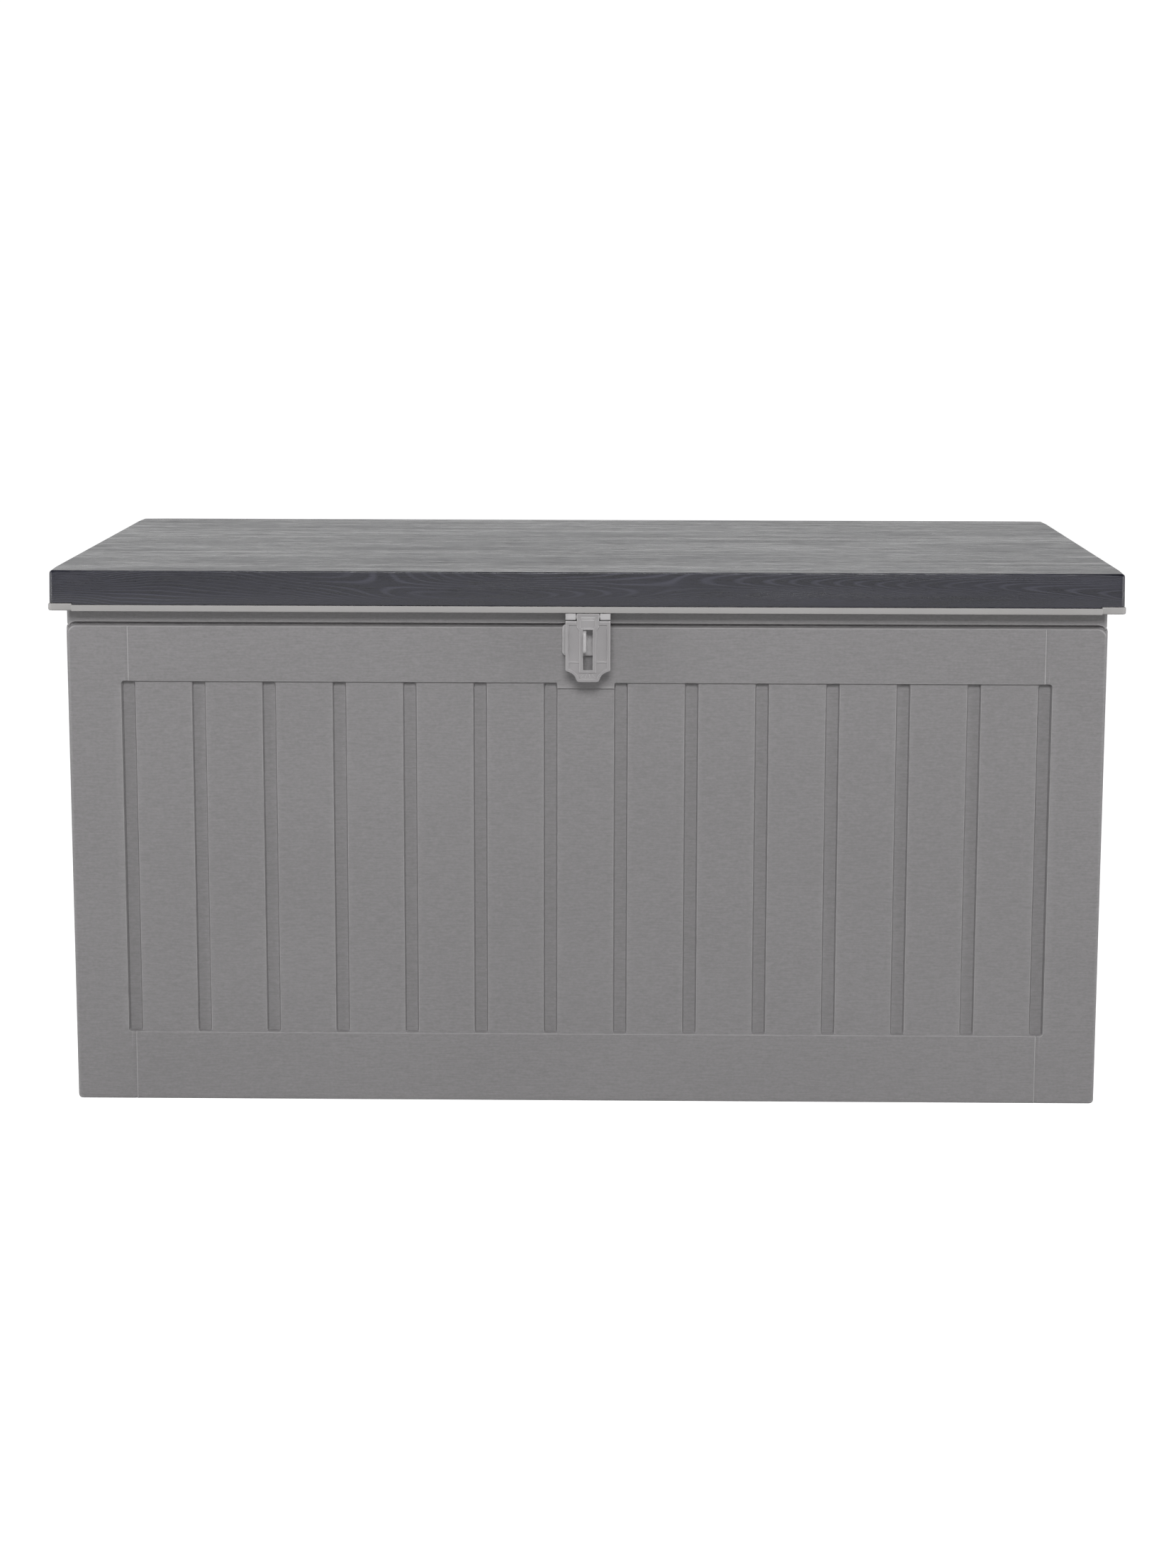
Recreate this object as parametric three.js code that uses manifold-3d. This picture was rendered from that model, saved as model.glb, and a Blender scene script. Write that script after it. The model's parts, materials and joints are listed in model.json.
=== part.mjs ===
// Deck storage box: five moulded panels screwed together, a two-shell lid on rear hinges, and a padlock hasp.
// Millimetres, +Z up. The box stands on z = 0, its front faces -Y, and x = y = 0 is the middle of its floor.
import * as THREE from 'three';
import { mergeVertices } from 'three/addons/utils/BufferGeometryUtils.js';
import Module from 'manifold-3d';

const wasm = await Module();
wasm.setup();

// ---------- driving dimensions ----------
const LID_WIDTH = 1190; // over the light edge strip of the lid
const LID_DEPTH = 620;
const TOTAL_HEIGHT = 607;
const LID_BOTTOM = 562; // underside of the lid's edge strip
const STRIP_HEIGHT = 7;
const LID_OVERHANG = 16.7; // from the walls' outer faces to the edge strip's
const SKIRT_INSET = 2.5; // from the edge strip's face back to the dark skirt
const LID_CORNER_RADIUS = 6;

const GAP = 0.3; // assembly gap between touching pieces
const WALL = 4; // moulded wall of the body
const LID_WALL = 3;
const CUT = 1; // how far a cutting block stands past the face it cuts

const BODY_CORNER_RADIUS = 6;
const CORNER_RETURN = 30; // length of a long wall that wraps round onto the end
const FIELD_BOTTOM = 79.4; // the boards' recessed field
const FIELD_TOP = 481.4;
const LATCH_PAD_DROP = 6.4; // the rail reaches lower over the middle board
const BOARD_DROP = 2; // boards behind the frame's face
const GROOVE_WIDTH = 14.3;
const GROOVE_DEPTH = 5; // below the boards
const LONG_GROOVES = 14;
const LONG_PITCH = 78.5;
const SIDE_GROOVES = 7;
const SIDE_PITCH = 75;
const LINE_BOTTOM = 543.9; // the level groove under the rim
const LINE_HEIGHT = 4.5;
const LINE_DEPTH = 6;
const RIM_FLANGE = 16;

const LEDGE_WIDTH = 22; // inner ledges that carry the floor tray
const LEDGE_BOTTOM = 12;
const LEDGE_TOP = 18;
const LONG_LEDGE = 540; // half lengths of the ledges
const SIDE_LEDGE = 240;
const FLOOR_THICKNESS = 4;
const FLOOR_RIBS_X = 11;
const FLOOR_RIBS_Y = 7;
const FLOOR_RIB_REACH_X = 540;
const FLOOR_RIB_REACH_Y = 258;
const REST_PAD = 40;

const JOINING_SCREW_HEIGHTS = [140, 450];
const JOINING_INSET = 23.3; // corner screws inside the end walls' faces
const BOSS_DEPTH = 8; // how far a corner screw's boss stands behind a wall
const BOSS_HALF = 14;
const TAB_BOTTOM = 30; // the end walls' corner tabs
const TAB_TOP = 530;
const TAB_ROOT = 18; // width of the tab's root on the end wall
const TAB_OVERLAP = 8; // how far the tab's second leaf starts inside the end wall
const TAB_DEPTH = 38; // from the end wall's face to the tab's inner edge
const BASE_SCREW_X = [-400, 400];

const GRIP_WIDTH = 130;
const GRIP_BOTTOM = 492;
const GRIP_TOP = 528;
const GRIP_DEPTH = 20;

const LID_EDGE = 9; // width of the strip's full-height edge
const LINER_WALL = 4;
const DISH_INSET_X = 52; // from the strip's face to the dish wall
const DISH_INSET_Y = 50;
const DISH_TOP = 590;
const DISH_RIBS = 5;
const DISH_RIB_WIDTH = 26;
const DISH_RIB_DROP = 5;
const PAD_LENGTH = 27; // the strip is a little taller at the corners
const PAD_RISE = 1.6;
const SEAT_HALF = 42; // thick seats in the edge for the hinges and the hasp
const SEAT_DEPTH = 18;
const LINER_SCREW_X = [-440, 0, 440];
const LINER_SCREW_Y = 190;
const COVER_BOSS_RADIUS = 7;

const HINGE_X = 400;
const HINGE_AXIS_Y = 303;
const HINGE_AXIS_Z = 553;
const HINGE_KNUCKLE_RADIUS = 4.8;
const HINGE_PIN_RADIUS = 2.2;
const HINGE_BORE_RADIUS = 2.6;
const HINGE_MIDDLE = 11.9; // half the width of the lid leaf's knuckle
const HINGE_OUTER = 22.4; // outer ends of the body leaf's knuckles
const HINGE_PLAY = 0.5; // between the knuckles along the pin
const HINGE_LEAF_THICKNESS = 3;
const BODY_LEAF_HALF = 35;
const BODY_LEAF_DROP = 40; // below the axis
const BODY_LEAF_RISE = 4; // above the axis
const BODY_ARM_RISE = 2;
const HINGE_SCREW_X = 27;
const HINGE_SCREW_DROP = 28; // below the axis
const LID_LEAF_HALF = 38;
const LID_LEAF_Y = [-7.5, 5.5];
const LID_SCREW_X = 30;
const LID_SCREW_Y = -1;
const STOP_TOP = 7; // stop lugs, below the axis
const STOP_BOTTOM = 13;
const STOP_REACH = 6; // behind the axis
const PIN_OVERHANG = 1; // past the outer knuckles
const PIN_HEAD_LENGTH = 2;
const PIN_HEAD_RADIUS = 3.4;

const HASP_X = 2.45;
const HASP_AXIS_Y = -308.5;
const HASP_AXIS_Z = 557.8;
const HASP_HALF_WIDTH = 24.75;
const HASP_STRAP_HALF = 12.4; // the flap's own knuckle and centre strap
const HASP_KNUCKLE_RADIUS = 3.7;
const HASP_PIN_RADIUS = 1.5;
const HASP_BORE_RADIUS = 1.9;
const HASP_PLAY = 1; // between the knuckles along the pin
const BRACKET_FRONT = 5; // behind the axis
const BRACKET_BACK = 13;
const BRACKET_BOTTOM = 1.4; // above the axis
const BRACKET_ARM_BACK = 6;
const BRACKET_SCREW_X = 18;
const BRACKET_SCREW_Y = 9.3;
const FLAP_TOP = 4.4; // below the axis
const FLAP_SHOULDER = 58.8;
const FLAP_TIP = 72.4;
const FLAP_TIP_HALF = 12.2;
const FLAP_BACK = 1; // in front of the axis
const FLAP_FRONT = 5;
const FLAP_FIELD_DEPTH = 1.2;
const FLAP_BORDER = 3.5; // raised rim outside the sunk fields
const FLAP_STRAP = 6; // raised border beside the slot
const FLAP_FIELD_END = 50.8; // below the axis
const FLAP_TIP_STRAIGHT = 4.1; // straight sides of the tip, below the hollow shoulders
const SLOT_HALF = 5.45;
const SLOT_TOP = 13.7; // below the axis
const SLOT_BOTTOM = 59.1;

const STAPLE_X = -1;
const STAPLE_HALF = 25.2;
const STAPLE_BOTTOM = 513;
const STAPLE_TOP = 548;
const STAPLE_THICKNESS = 5;
const FIN_HALF = 1.7;
const FIN_BOTTOM = 518.5;
const FIN_TOP = 543;
const FIN_PAST_FLAP = 12;
const PADLOCK_HOLE_RADIUS = 3.5;
const PADLOCK_HOLE_INSET = 6; // from the fin's tip
const STAPLE_SCREW_X = 16;
const STAPLE_SCREW_Z = 528.5;
const MOUNT_BOSS_DEPTH = 10; // bosses behind the hinge leaves and the staple
const MOUNT_BOSS_HALF_HEIGHT = 12;
const HINGE_BOSS_HALF = 38;

const SCREW_RADIUS = 1.6;
const SCREW_HEAD_RADIUS = 3.3;
const SCREW_HEAD_HEIGHT = 2;
const SCREW_TAPER = 0.6; // the head's top and the shank's tip, as shares of their radii
const THREAD_HOLE_RADIUS = 2; // the screw's hole in the piece that it bites
const WALL_HOLE_DEPTH = 10;
const MOUNT_HOLE_DEPTH = 12;
const COVER_HOLE_DEPTH = 11;
const SEAT_HOLE_DEPTH = 6;
const CORNER_SCREW_LENGTH = 12;
const BASE_SCREW_LENGTH = 11;
const LEAF_SCREW_LENGTH = 11;
const LINER_SCREW_BITE = 9; // past the piece that the head holds
const SEAT_SCREW_BITE = 5;
const STAPLE_SCREW_BITE = 10;
const ROUND_SIDES = 16;
const SCREW_SIDES = 10;
const CORNER_STEPS = 5;

// ---------- derived sizes ----------
const BODY_WIDTH = LID_WIDTH - 2 * LID_OVERHANG;
const BODY_DEPTH = LID_DEPTH - 2 * LID_OVERHANG;
const BODY_TOP = LID_BOTTOM - GAP;
const LEG = WALL + GAP; // a long wall's leg, which the end wall's tab passes behind
const SIDE_HALF = BODY_DEPTH / 2 - CORNER_RETURN - GAP;
const LINE_TOP = LINE_BOTTOM + LINE_HEIGHT;
const BACKING = BOARD_DROP + GROOVE_DEPTH + WALL;
const STRIP_TOP = LID_BOTTOM + STRIP_HEIGHT;
const PAD_TOP = STRIP_TOP + PAD_RISE;
const FRONT_Y = -BODY_DEPTH / 2;
const TAB_OUT = LEG + GAP;
const TAB_END = BODY_DEPTH / 2 - WALL - BOSS_DEPTH - GAP;
const BASE_SCREW_INSET = WALL + LEDGE_WIDTH / 2;
const FLOOR_BOTTOM = LEDGE_TOP + GAP;
const FLOOR_TOP = FLOOR_BOTTOM + FLOOR_THICKNESS;
const FLOOR_HALF_X = BODY_WIDTH / 2 - LEG - 2 * GAP;
const FLOOR_HALF_Y = BODY_DEPTH / 2 - WALL - 2 * GAP;
const DISH_HALF_X = LID_WIDTH / 2 - DISH_INSET_X;
const DISH_HALF_Y = LID_DEPTH / 2 - DISH_INSET_Y;
const DISH_CEILING = DISH_TOP - LINER_WALL;
const HINGE_SCREW_Z = HINGE_AXIS_Z - HINGE_SCREW_DROP;
const LID_LEAF_BOTTOM = LID_BOTTOM - GAP - HINGE_LEAF_THICKNESS - HINGE_AXIS_Z;
const BODY_LEAF_BACK = BODY_DEPTH / 2 + GAP - HINGE_AXIS_Y;
const BODY_LEAF_FACE = BODY_LEAF_BACK + HINGE_LEAF_THICKNESS;
const BRACKET_TOP = LID_BOTTOM - GAP - HASP_AXIS_Z;
const STAPLE_FRONT = FRONT_Y - GAP - STAPLE_THICKNESS;
const FIN_TIP = HASP_AXIS_Y - FLAP_FRONT - FIN_PAST_FLAP;

// ---------- materials ----------
const material = (color, roughness, metalness = 0) => new THREE.MeshStandardMaterial({ color, roughness, metalness });
const wallPlastic = material('#878684', 0.6);
const lidPlastic = material('#434246', 0.5);
const linerPlastic = material('#a4a2a1', 0.55);
const haspPlastic = material('#a09e9f', 0.5);
const zincSteel = material('#b4b6b8', 0.35, 1);

// ---------- solids ----------
function solidOf(geometry) {
  geometry.deleteAttribute('normal');
  geometry.deleteAttribute('uv');
  const welded = mergeVertices(geometry);
  return new wasm.Manifold(new wasm.Mesh({
    numProp: 3,
    vertProperties: welded.attributes.position.array,
    triVerts: new Uint32Array(welded.index.array),
  }));
}

function geometryOf(solid) {
  const mesh = solid.getMesh();
  const geometry = new THREE.BufferGeometry();
  geometry.setAttribute('position', new THREE.BufferAttribute(mesh.vertProperties, 3));
  geometry.setIndex(new THREE.BufferAttribute(mesh.triVerts, 1));
  const faceted = geometry.toNonIndexed();
  faceted.computeVertexNormals();
  return faceted;
}

// A block from its lowest to its highest x, y and z.
function block([x0, x1], [y0, y1], [z0, z1]) {
  const geometry = new THREE.BoxGeometry(x1 - x0, y1 - y0, z1 - z0);
  geometry.translate((x0 + x1) / 2, (y0 + y1) / 2, (z0 + z1) / 2);
  return solidOf(geometry);
}

// The same block on both sides of x = 0.
function blockPair([x0, x1], y, z) {
  return block([x0, x1], y, z).add(block([-x1, -x0], y, z));
}

// A round bar or bore from one point along a direction.
function bar(start, direction, length, radius, sides = ROUND_SIDES) {
  const geometry = new THREE.CylinderGeometry(radius, radius, length, sides);
  geometry.translate(0, length / 2, 0);
  geometry.applyQuaternion(new THREE.Quaternion().setFromUnitVectors(new THREE.Vector3(0, 1, 0), direction));
  geometry.translate(start.x, start.y, start.z);
  return solidOf(geometry);
}

// A flat outline in x and y, raised from z = 0.
function extruded(shape, depth) {
  return solidOf(new THREE.ExtrudeGeometry(shape, { depth, bevelEnabled: false, curveSegments: CORNER_STEPS }));
}

// An upright prism on a rectangle with rounded corners, centred on x = y = 0.
function roundedPrism(width, depth, radius, z0, z1) {
  const [w, d] = [width / 2, depth / 2];
  const shape = new THREE.Shape();
  shape.moveTo(w - radius, -d);
  shape.absarc(w - radius, radius - d, radius, -Math.PI / 2, 0);
  shape.absarc(w - radius, d - radius, radius, 0, Math.PI / 2);
  shape.absarc(radius - w, d - radius, radius, Math.PI / 2, Math.PI);
  shape.absarc(radius - w, radius - d, radius, Math.PI, Math.PI * 1.5);
  return extruded(shape, z1 - z0).translate(0, 0, z0);
}

const group = new THREE.Group();

// Adds a piece whose solid is written about its own origin.
function addPiece(name, solid, finish, position = [0, 0, 0], turn = 0) {
  const mesh = new THREE.Mesh(geometryOf(solid), finish);
  mesh.name = name;
  mesh.position.set(...position);
  mesh.rotation.z = turn;
  group.add(mesh);
}

// ---------- screws ----------
const X = new THREE.Vector3(1, 0, 0);
const Y = new THREE.Vector3(0, 1, 0);
const Z = new THREE.Vector3(0, 0, 1);
const toward = (axis, sign) => axis.clone().multiplyScalar(sign);

// A pan-head screw whose head lies on `seat` and whose shank runs along `direction`.
function addScrew(name, seat, direction, length) {
  const profile = [
    [0, -length],
    [SCREW_RADIUS * SCREW_TAPER, -length],
    [SCREW_RADIUS, -length + SCREW_RADIUS],
    [SCREW_RADIUS, 0],
    [SCREW_HEAD_RADIUS, 0],
    [SCREW_HEAD_RADIUS, SCREW_HEAD_HEIGHT / 2],
    [SCREW_HEAD_RADIUS * SCREW_TAPER, SCREW_HEAD_HEIGHT],
    [0, SCREW_HEAD_HEIGHT],
  ].map(([radius, along]) => new THREE.Vector2(radius, along));
  const mesh = new THREE.Mesh(new THREE.LatheGeometry(profile, SCREW_SIDES), zincSteel);
  mesh.name = name;
  mesh.quaternion.setFromUnitVectors(new THREE.Vector3(0, -1, 0), direction);
  mesh.position.copy(seat).addScaledVector(direction, -GAP);
  group.add(mesh);
}

const hole = (seat, direction, length) => (
  bar(seat.clone().addScaledVector(direction, -CUT), direction, length + CUT, THREAD_HOLE_RADIUS, SCREW_SIDES)
);

// Middles of `count` equal features about x = 0.
function evenCentres(count, pitch) {
  return Array.from({ length: count }, (_, i) => (i - (count - 1) / 2) * pitch);
}

// ---------- walls, written with the outer face on y = 0 and y growing inwards ----------

function boardedWall(half, grooves, pitch, ledgeHalf) {
  const centres = evenCentres(grooves, pitch);
  const field = centres[grooves - 1] + GROOVE_WIDTH / 2;
  const backedZ = [FIELD_BOTTOM - WALL, FIELD_TOP + WALL];
  let wall = block([-half, half], [0, WALL], [0, BODY_TOP]);
  wall = wall.add(block([-field - WALL, field + WALL], [0, BOARD_DROP + WALL], backedZ));
  wall = wall.add(block([-half, half], [0, LINE_DEPTH + WALL], [LINE_BOTTOM - WALL, LINE_TOP + WALL]));
  wall = wall.add(block([-half, half], [0, RIM_FLANGE], [BODY_TOP - WALL, BODY_TOP]));
  wall = wall.add(block([-ledgeHalf, ledgeHalf], [0, WALL + LEDGE_WIDTH], [LEDGE_BOTTOM, LEDGE_TOP]));
  for (const x of centres) {
    wall = wall.add(block([x - GROOVE_WIDTH / 2 - WALL, x + GROOVE_WIDTH / 2 + WALL], [0, BACKING], backedZ));
  }
  wall = wall.subtract(block([-field, field], [-CUT, BOARD_DROP], [FIELD_BOTTOM, FIELD_TOP]));
  for (const x of centres) {
    const across = [x - GROOVE_WIDTH / 2, x + GROOVE_WIDTH / 2];
    wall = wall.subtract(block(across, [-CUT, BOARD_DROP + GROOVE_DEPTH], [FIELD_BOTTOM, FIELD_TOP]));
  }
  return wall.subtract(block([-half - CUT, half + CUT], [-CUT, LINE_DEPTH], [LINE_BOTTOM, LINE_TOP]));
}

// A long wall: the boarded face, the two legs round the corners and the bosses for the end walls' screws.
function longWall() {
  const half = BODY_WIDTH / 2;
  const boss = half - JOINING_INSET;
  let wall = boardedWall(half, LONG_GROOVES, LONG_PITCH, LONG_LEDGE);
  wall = wall.add(blockPair([half - LEG, half], [0, CORNER_RETURN], [0, BODY_TOP]));
  wall = wall.add(blockPair(
    [half - LINE_DEPTH - WALL, half], [0, CORNER_RETURN], [LINE_BOTTOM - WALL, LINE_TOP + WALL],
  ));
  wall = wall.subtract(blockPair(
    [half - LINE_DEPTH, half + CUT], [-CUT, CORNER_RETURN + CUT], [LINE_BOTTOM, LINE_TOP],
  ));
  for (const z of JOINING_SCREW_HEIGHTS) {
    wall = wall.add(blockPair(
      [boss - BOSS_HALF, boss + BOSS_HALF], [0, WALL + BOSS_DEPTH], [z - BOSS_HALF, z + BOSS_HALF],
    ));
  }
  const outline = roundedPrism(BODY_WIDTH, BODY_DEPTH, BODY_CORNER_RADIUS, 0, BODY_TOP);
  wall = wall.intersect(outline.translate(0, BODY_DEPTH / 2, 0));
  for (const z of JOINING_SCREW_HEIGHTS) {
    for (const x of [-boss, boss]) {
      wall = wall.subtract(hole(new THREE.Vector3(x, WALL + BOSS_DEPTH, z), toward(Y, -1), WALL_HOLE_DEPTH));
    }
  }
  return wall;
}

// ---------- front and back walls ----------
function ledgeHoles(wall, places) {
  return places.reduce((solid, x) => {
    const seat = new THREE.Vector3(x, BASE_SCREW_INSET, LEDGE_TOP);
    return solid.subtract(hole(seat, toward(Z, -1), WALL_HOLE_DEPTH));
  }, wall);
}

// A boss behind the wall, level with the screws of a fitting on its outside.
function mountBoss([x0, x1], z) {
  return block(
    [x0, x1], [WALL / 2, WALL + MOUNT_BOSS_DEPTH], [z - MOUNT_BOSS_HALF_HEIGHT, z + MOUNT_BOSS_HALF_HEIGHT],
  );
}

function frontWall() {
  const padHalf = LONG_PITCH / 2 - GROOVE_WIDTH / 2;
  let wall = longWall();
  wall = wall.add(block([-padHalf, padHalf], [0, BOARD_DROP + WALL], [FIELD_TOP - LATCH_PAD_DROP, FIELD_TOP]));
  wall = wall.add(mountBoss([STAPLE_X - STAPLE_HALF, STAPLE_X + STAPLE_HALF], STAPLE_SCREW_Z));
  for (const x of [-STAPLE_SCREW_X, STAPLE_SCREW_X]) {
    wall = wall.subtract(hole(new THREE.Vector3(STAPLE_X + x, 0, STAPLE_SCREW_Z), Y, MOUNT_HOLE_DEPTH));
  }
  return ledgeHoles(wall, BASE_SCREW_X);
}

function backWall() {
  let wall = longWall();
  for (const hinge of [-HINGE_X, HINGE_X]) {
    wall = wall.add(mountBoss([hinge - HINGE_BOSS_HALF, hinge + HINGE_BOSS_HALF], HINGE_SCREW_Z));
    for (const x of [-HINGE_SCREW_X, HINGE_SCREW_X]) {
      wall = wall.subtract(hole(new THREE.Vector3(hinge + x, 0, HINGE_SCREW_Z), Y, MOUNT_HOLE_DEPTH));
    }
  }
  return ledgeHoles(wall, BASE_SCREW_X);
}

// ---------- end walls, with tabs that pass behind the long walls' legs and turn in along them ----------
function endWall() {
  const tabZ = [TAB_BOTTOM, TAB_TOP];
  let wall = boardedWall(SIDE_HALF, SIDE_GROOVES, SIDE_PITCH, SIDE_LEDGE);
  wall = wall.add(blockPair([SIDE_HALF - TAB_ROOT, SIDE_HALF], [0, TAB_OUT + WALL], tabZ));
  wall = wall.add(blockPair([SIDE_HALF - TAB_OVERLAP, TAB_END], [TAB_OUT, TAB_OUT + WALL], tabZ));
  wall = wall.add(blockPair([TAB_END - WALL, TAB_END], [TAB_OUT, TAB_DEPTH], tabZ));
  wall = wall.add(block(
    [-GRIP_WIDTH / 2 - WALL, GRIP_WIDTH / 2 + WALL], [0, GRIP_DEPTH + WALL], [GRIP_BOTTOM - WALL, GRIP_TOP + WALL],
  ));
  wall = wall.subtract(block([-GRIP_WIDTH / 2, GRIP_WIDTH / 2], [-CUT, GRIP_DEPTH], [GRIP_BOTTOM, GRIP_TOP]));
  for (const z of JOINING_SCREW_HEIGHTS) {
    for (const end of [-1, 1]) {
      const seat = new THREE.Vector3(end * (TAB_END - WALL), JOINING_INSET, z);
      wall = wall.subtract(hole(seat, toward(X, end), WALL + CUT));
    }
  }
  return ledgeHoles(wall, [0]);
}

addPiece('front_panel', frontWall(), wallPlastic, [0, -BODY_DEPTH / 2, 0]);
addPiece('back_panel', backWall(), wallPlastic, [0, BODY_DEPTH / 2, 0], Math.PI);
addPiece('right_panel', endWall(), wallPlastic, [BODY_WIDTH / 2, 0, 0], Math.PI / 2);
addPiece('left_panel', endWall(), wallPlastic, [-BODY_WIDTH / 2, 0, 0], -Math.PI / 2);

for (const [side, x] of [['left', -1], ['right', 1]]) {
  for (const [end, y] of [['front', -1], ['back', 1]]) {
    JOINING_SCREW_HEIGHTS.forEach((z, i) => {
      const seat = new THREE.Vector3(x * (BODY_WIDTH / 2 - JOINING_INSET), y * (TAB_END - WALL), z);
      addScrew(`corner_screw_${end}_${side}_${i + 1}`, seat, toward(Y, y), CORNER_SCREW_LENGTH);
    });
  }
}

// ---------- floor tray ----------
const floorScrews = [
  ...BASE_SCREW_X.flatMap((x) => [-1, 1].map((y) => [x, y * (BODY_DEPTH / 2 - BASE_SCREW_INSET)])),
  ...[-1, 1].map((x) => [x * (BODY_WIDTH / 2 - BASE_SCREW_INSET), 0]),
];

function floorTray() {
  const ribZ = [0, FLOOR_BOTTOM + CUT];
  let floor = block([-FLOOR_HALF_X, FLOOR_HALF_X], [-FLOOR_HALF_Y, FLOOR_HALF_Y], [FLOOR_BOTTOM, FLOOR_TOP]);
  for (const x of evenCentres(FLOOR_RIBS_X, 2 * FLOOR_RIB_REACH_X / (FLOOR_RIBS_X - 1))) {
    floor = floor.add(block([x - WALL / 2, x + WALL / 2], [-FLOOR_RIB_REACH_Y, FLOOR_RIB_REACH_Y], ribZ));
  }
  for (const y of evenCentres(FLOOR_RIBS_Y, 2 * FLOOR_RIB_REACH_Y / (FLOOR_RIBS_Y - 1))) {
    floor = floor.add(block([-FLOOR_RIB_REACH_X, FLOOR_RIB_REACH_X], [y - WALL / 2, y + WALL / 2], ribZ));
  }
  floor = floor.add(block([-REST_PAD / 2, REST_PAD / 2], [-REST_PAD / 2, REST_PAD / 2], ribZ));
  for (const [x, y] of floorScrews) {
    floor = floor.subtract(hole(new THREE.Vector3(x, y, FLOOR_TOP), toward(Z, -1), FLOOR_THICKNESS + CUT));
  }
  return floor;
}

addPiece('base_panel', floorTray(), wallPlastic);
floorScrews.forEach(([x, y], i) => {
  addScrew(`base_screw_${i + 1}`, new THREE.Vector3(x, y, FLOOR_TOP), toward(Z, -1), BASE_SCREW_LENGTH);
});

// ---------- lid: a light liner with a raised dish, and a dark cover that stands on its edge strip ----------
const dishRibs = evenCentres(DISH_RIBS, 2 * DISH_HALF_X / DISH_RIBS);
const linerScrews = LINER_SCREW_X.flatMap((x) => [-LINER_SCREW_Y, LINER_SCREW_Y].map((y) => [x, y]));

// A block at each corner of a rectangle, whose front and back corners lie at plus and minus outerY.
function cornerBlocks(outerX, outerY, length, z) {
  const front = blockPair([outerX - length, outerX], [-outerY, length - outerY], z);
  return front.add(blockPair([outerX - length, outerX], [outerY - length, outerY], z));
}

function lidLiner() {
  const [halfX, halfY] = [LID_WIDTH / 2, LID_DEPTH / 2];
  const seatY = [halfY - SEAT_DEPTH, halfY];
  let liner = block([-halfX, halfX], [-halfY, halfY], [LID_BOTTOM, STRIP_TOP]);
  liner = liner.add(cornerBlocks(halfX, halfY, PAD_LENGTH, [LID_BOTTOM, PAD_TOP]));
  liner = liner.intersect(roundedPrism(LID_WIDTH, LID_DEPTH, LID_CORNER_RADIUS, LID_BOTTOM - CUT, PAD_TOP + CUT));
  liner = liner.subtract(block(
    [LID_EDGE - halfX, halfX - LID_EDGE], [LID_EDGE - halfY, halfY - LID_EDGE],
    [LID_BOTTOM + LINER_WALL, PAD_TOP + CUT],
  ));
  for (const x of [-HINGE_X, HINGE_X]) {
    liner = liner.add(block([x - SEAT_HALF, x + SEAT_HALF], seatY, [LID_BOTTOM, STRIP_TOP]));
  }
  const frontSeatY = seatY.map((y) => -y).reverse();
  liner = liner.add(block([HASP_X - SEAT_HALF, HASP_X + SEAT_HALF], frontSeatY, [LID_BOTTOM, STRIP_TOP]));
  liner = liner.add(block(
    [-DISH_HALF_X - LINER_WALL, DISH_HALF_X + LINER_WALL], [-DISH_HALF_Y - LINER_WALL, DISH_HALF_Y + LINER_WALL],
    [LID_BOTTOM, DISH_TOP],
  ));
  liner = liner.subtract(block(
    [-DISH_HALF_X, DISH_HALF_X], [-DISH_HALF_Y, DISH_HALF_Y], [LID_BOTTOM - CUT, DISH_CEILING],
  ));
  for (const x of dishRibs) {
    liner = liner.add(block(
      [x - DISH_RIB_WIDTH / 2, x + DISH_RIB_WIDTH / 2], [-DISH_HALF_Y - CUT, DISH_HALF_Y + CUT],
      [DISH_CEILING - DISH_RIB_DROP, DISH_TOP - CUT],
    ));
  }
  return liner;
}

function lidCover() {
  const width = LID_WIDTH - 2 * SKIRT_INSET;
  const depth = LID_DEPTH - 2 * SKIRT_INSET;
  const bottom = STRIP_TOP + GAP;
  const inner = roundedPrism(
    width - 2 * LID_WALL, depth - 2 * LID_WALL, LID_CORNER_RADIUS - LID_WALL, bottom - CUT, TOTAL_HEIGHT - LID_WALL,
  );
  const padClearance = PAD_LENGTH - SKIRT_INSET + CUT + GAP;
  let cover = roundedPrism(width, depth, LID_CORNER_RADIUS, bottom, TOTAL_HEIGHT);
  cover = cover.subtract(inner);
  return cover.subtract(cornerBlocks(width / 2 + CUT, depth / 2 + CUT, padClearance, [bottom - CUT, PAD_TOP + GAP]));
}

// Height of the dish's underside at x, which is lower on a rib.
function dishUnderside(x) {
  const onRib = dishRibs.some((rib) => Math.abs(rib - x) < DISH_RIB_WIDTH / 2);
  return DISH_CEILING - (onRib ? DISH_RIB_DROP : 0);
}

let liner = lidLiner();
let cover = lidCover();
linerScrews.forEach(([x, y], i) => {
  const seat = new THREE.Vector3(x, y, dishUnderside(x));
  const bossBottom = new THREE.Vector3(x, y, DISH_TOP + GAP);
  liner = liner.subtract(hole(seat, Z, DISH_TOP - seat.z + CUT));
  cover = cover.add(bar(bossBottom, Z, TOTAL_HEIGHT - CUT - bossBottom.z, COVER_BOSS_RADIUS));
  cover = cover.subtract(hole(bossBottom, Z, COVER_HOLE_DEPTH));
  addScrew(`liner_screw_${i + 1}`, seat, Z, DISH_TOP - seat.z + LINER_SCREW_BITE);
});

// ---------- hinges, each written about its own axis ----------
function knuckle(from, to, radius) {
  return bar(new THREE.Vector3(from, 0, 0), X, to - from, radius);
}

const hingeBore = knuckle(-HINGE_OUTER - CUT, HINGE_OUTER + CUT, HINGE_BORE_RADIUS);

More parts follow.
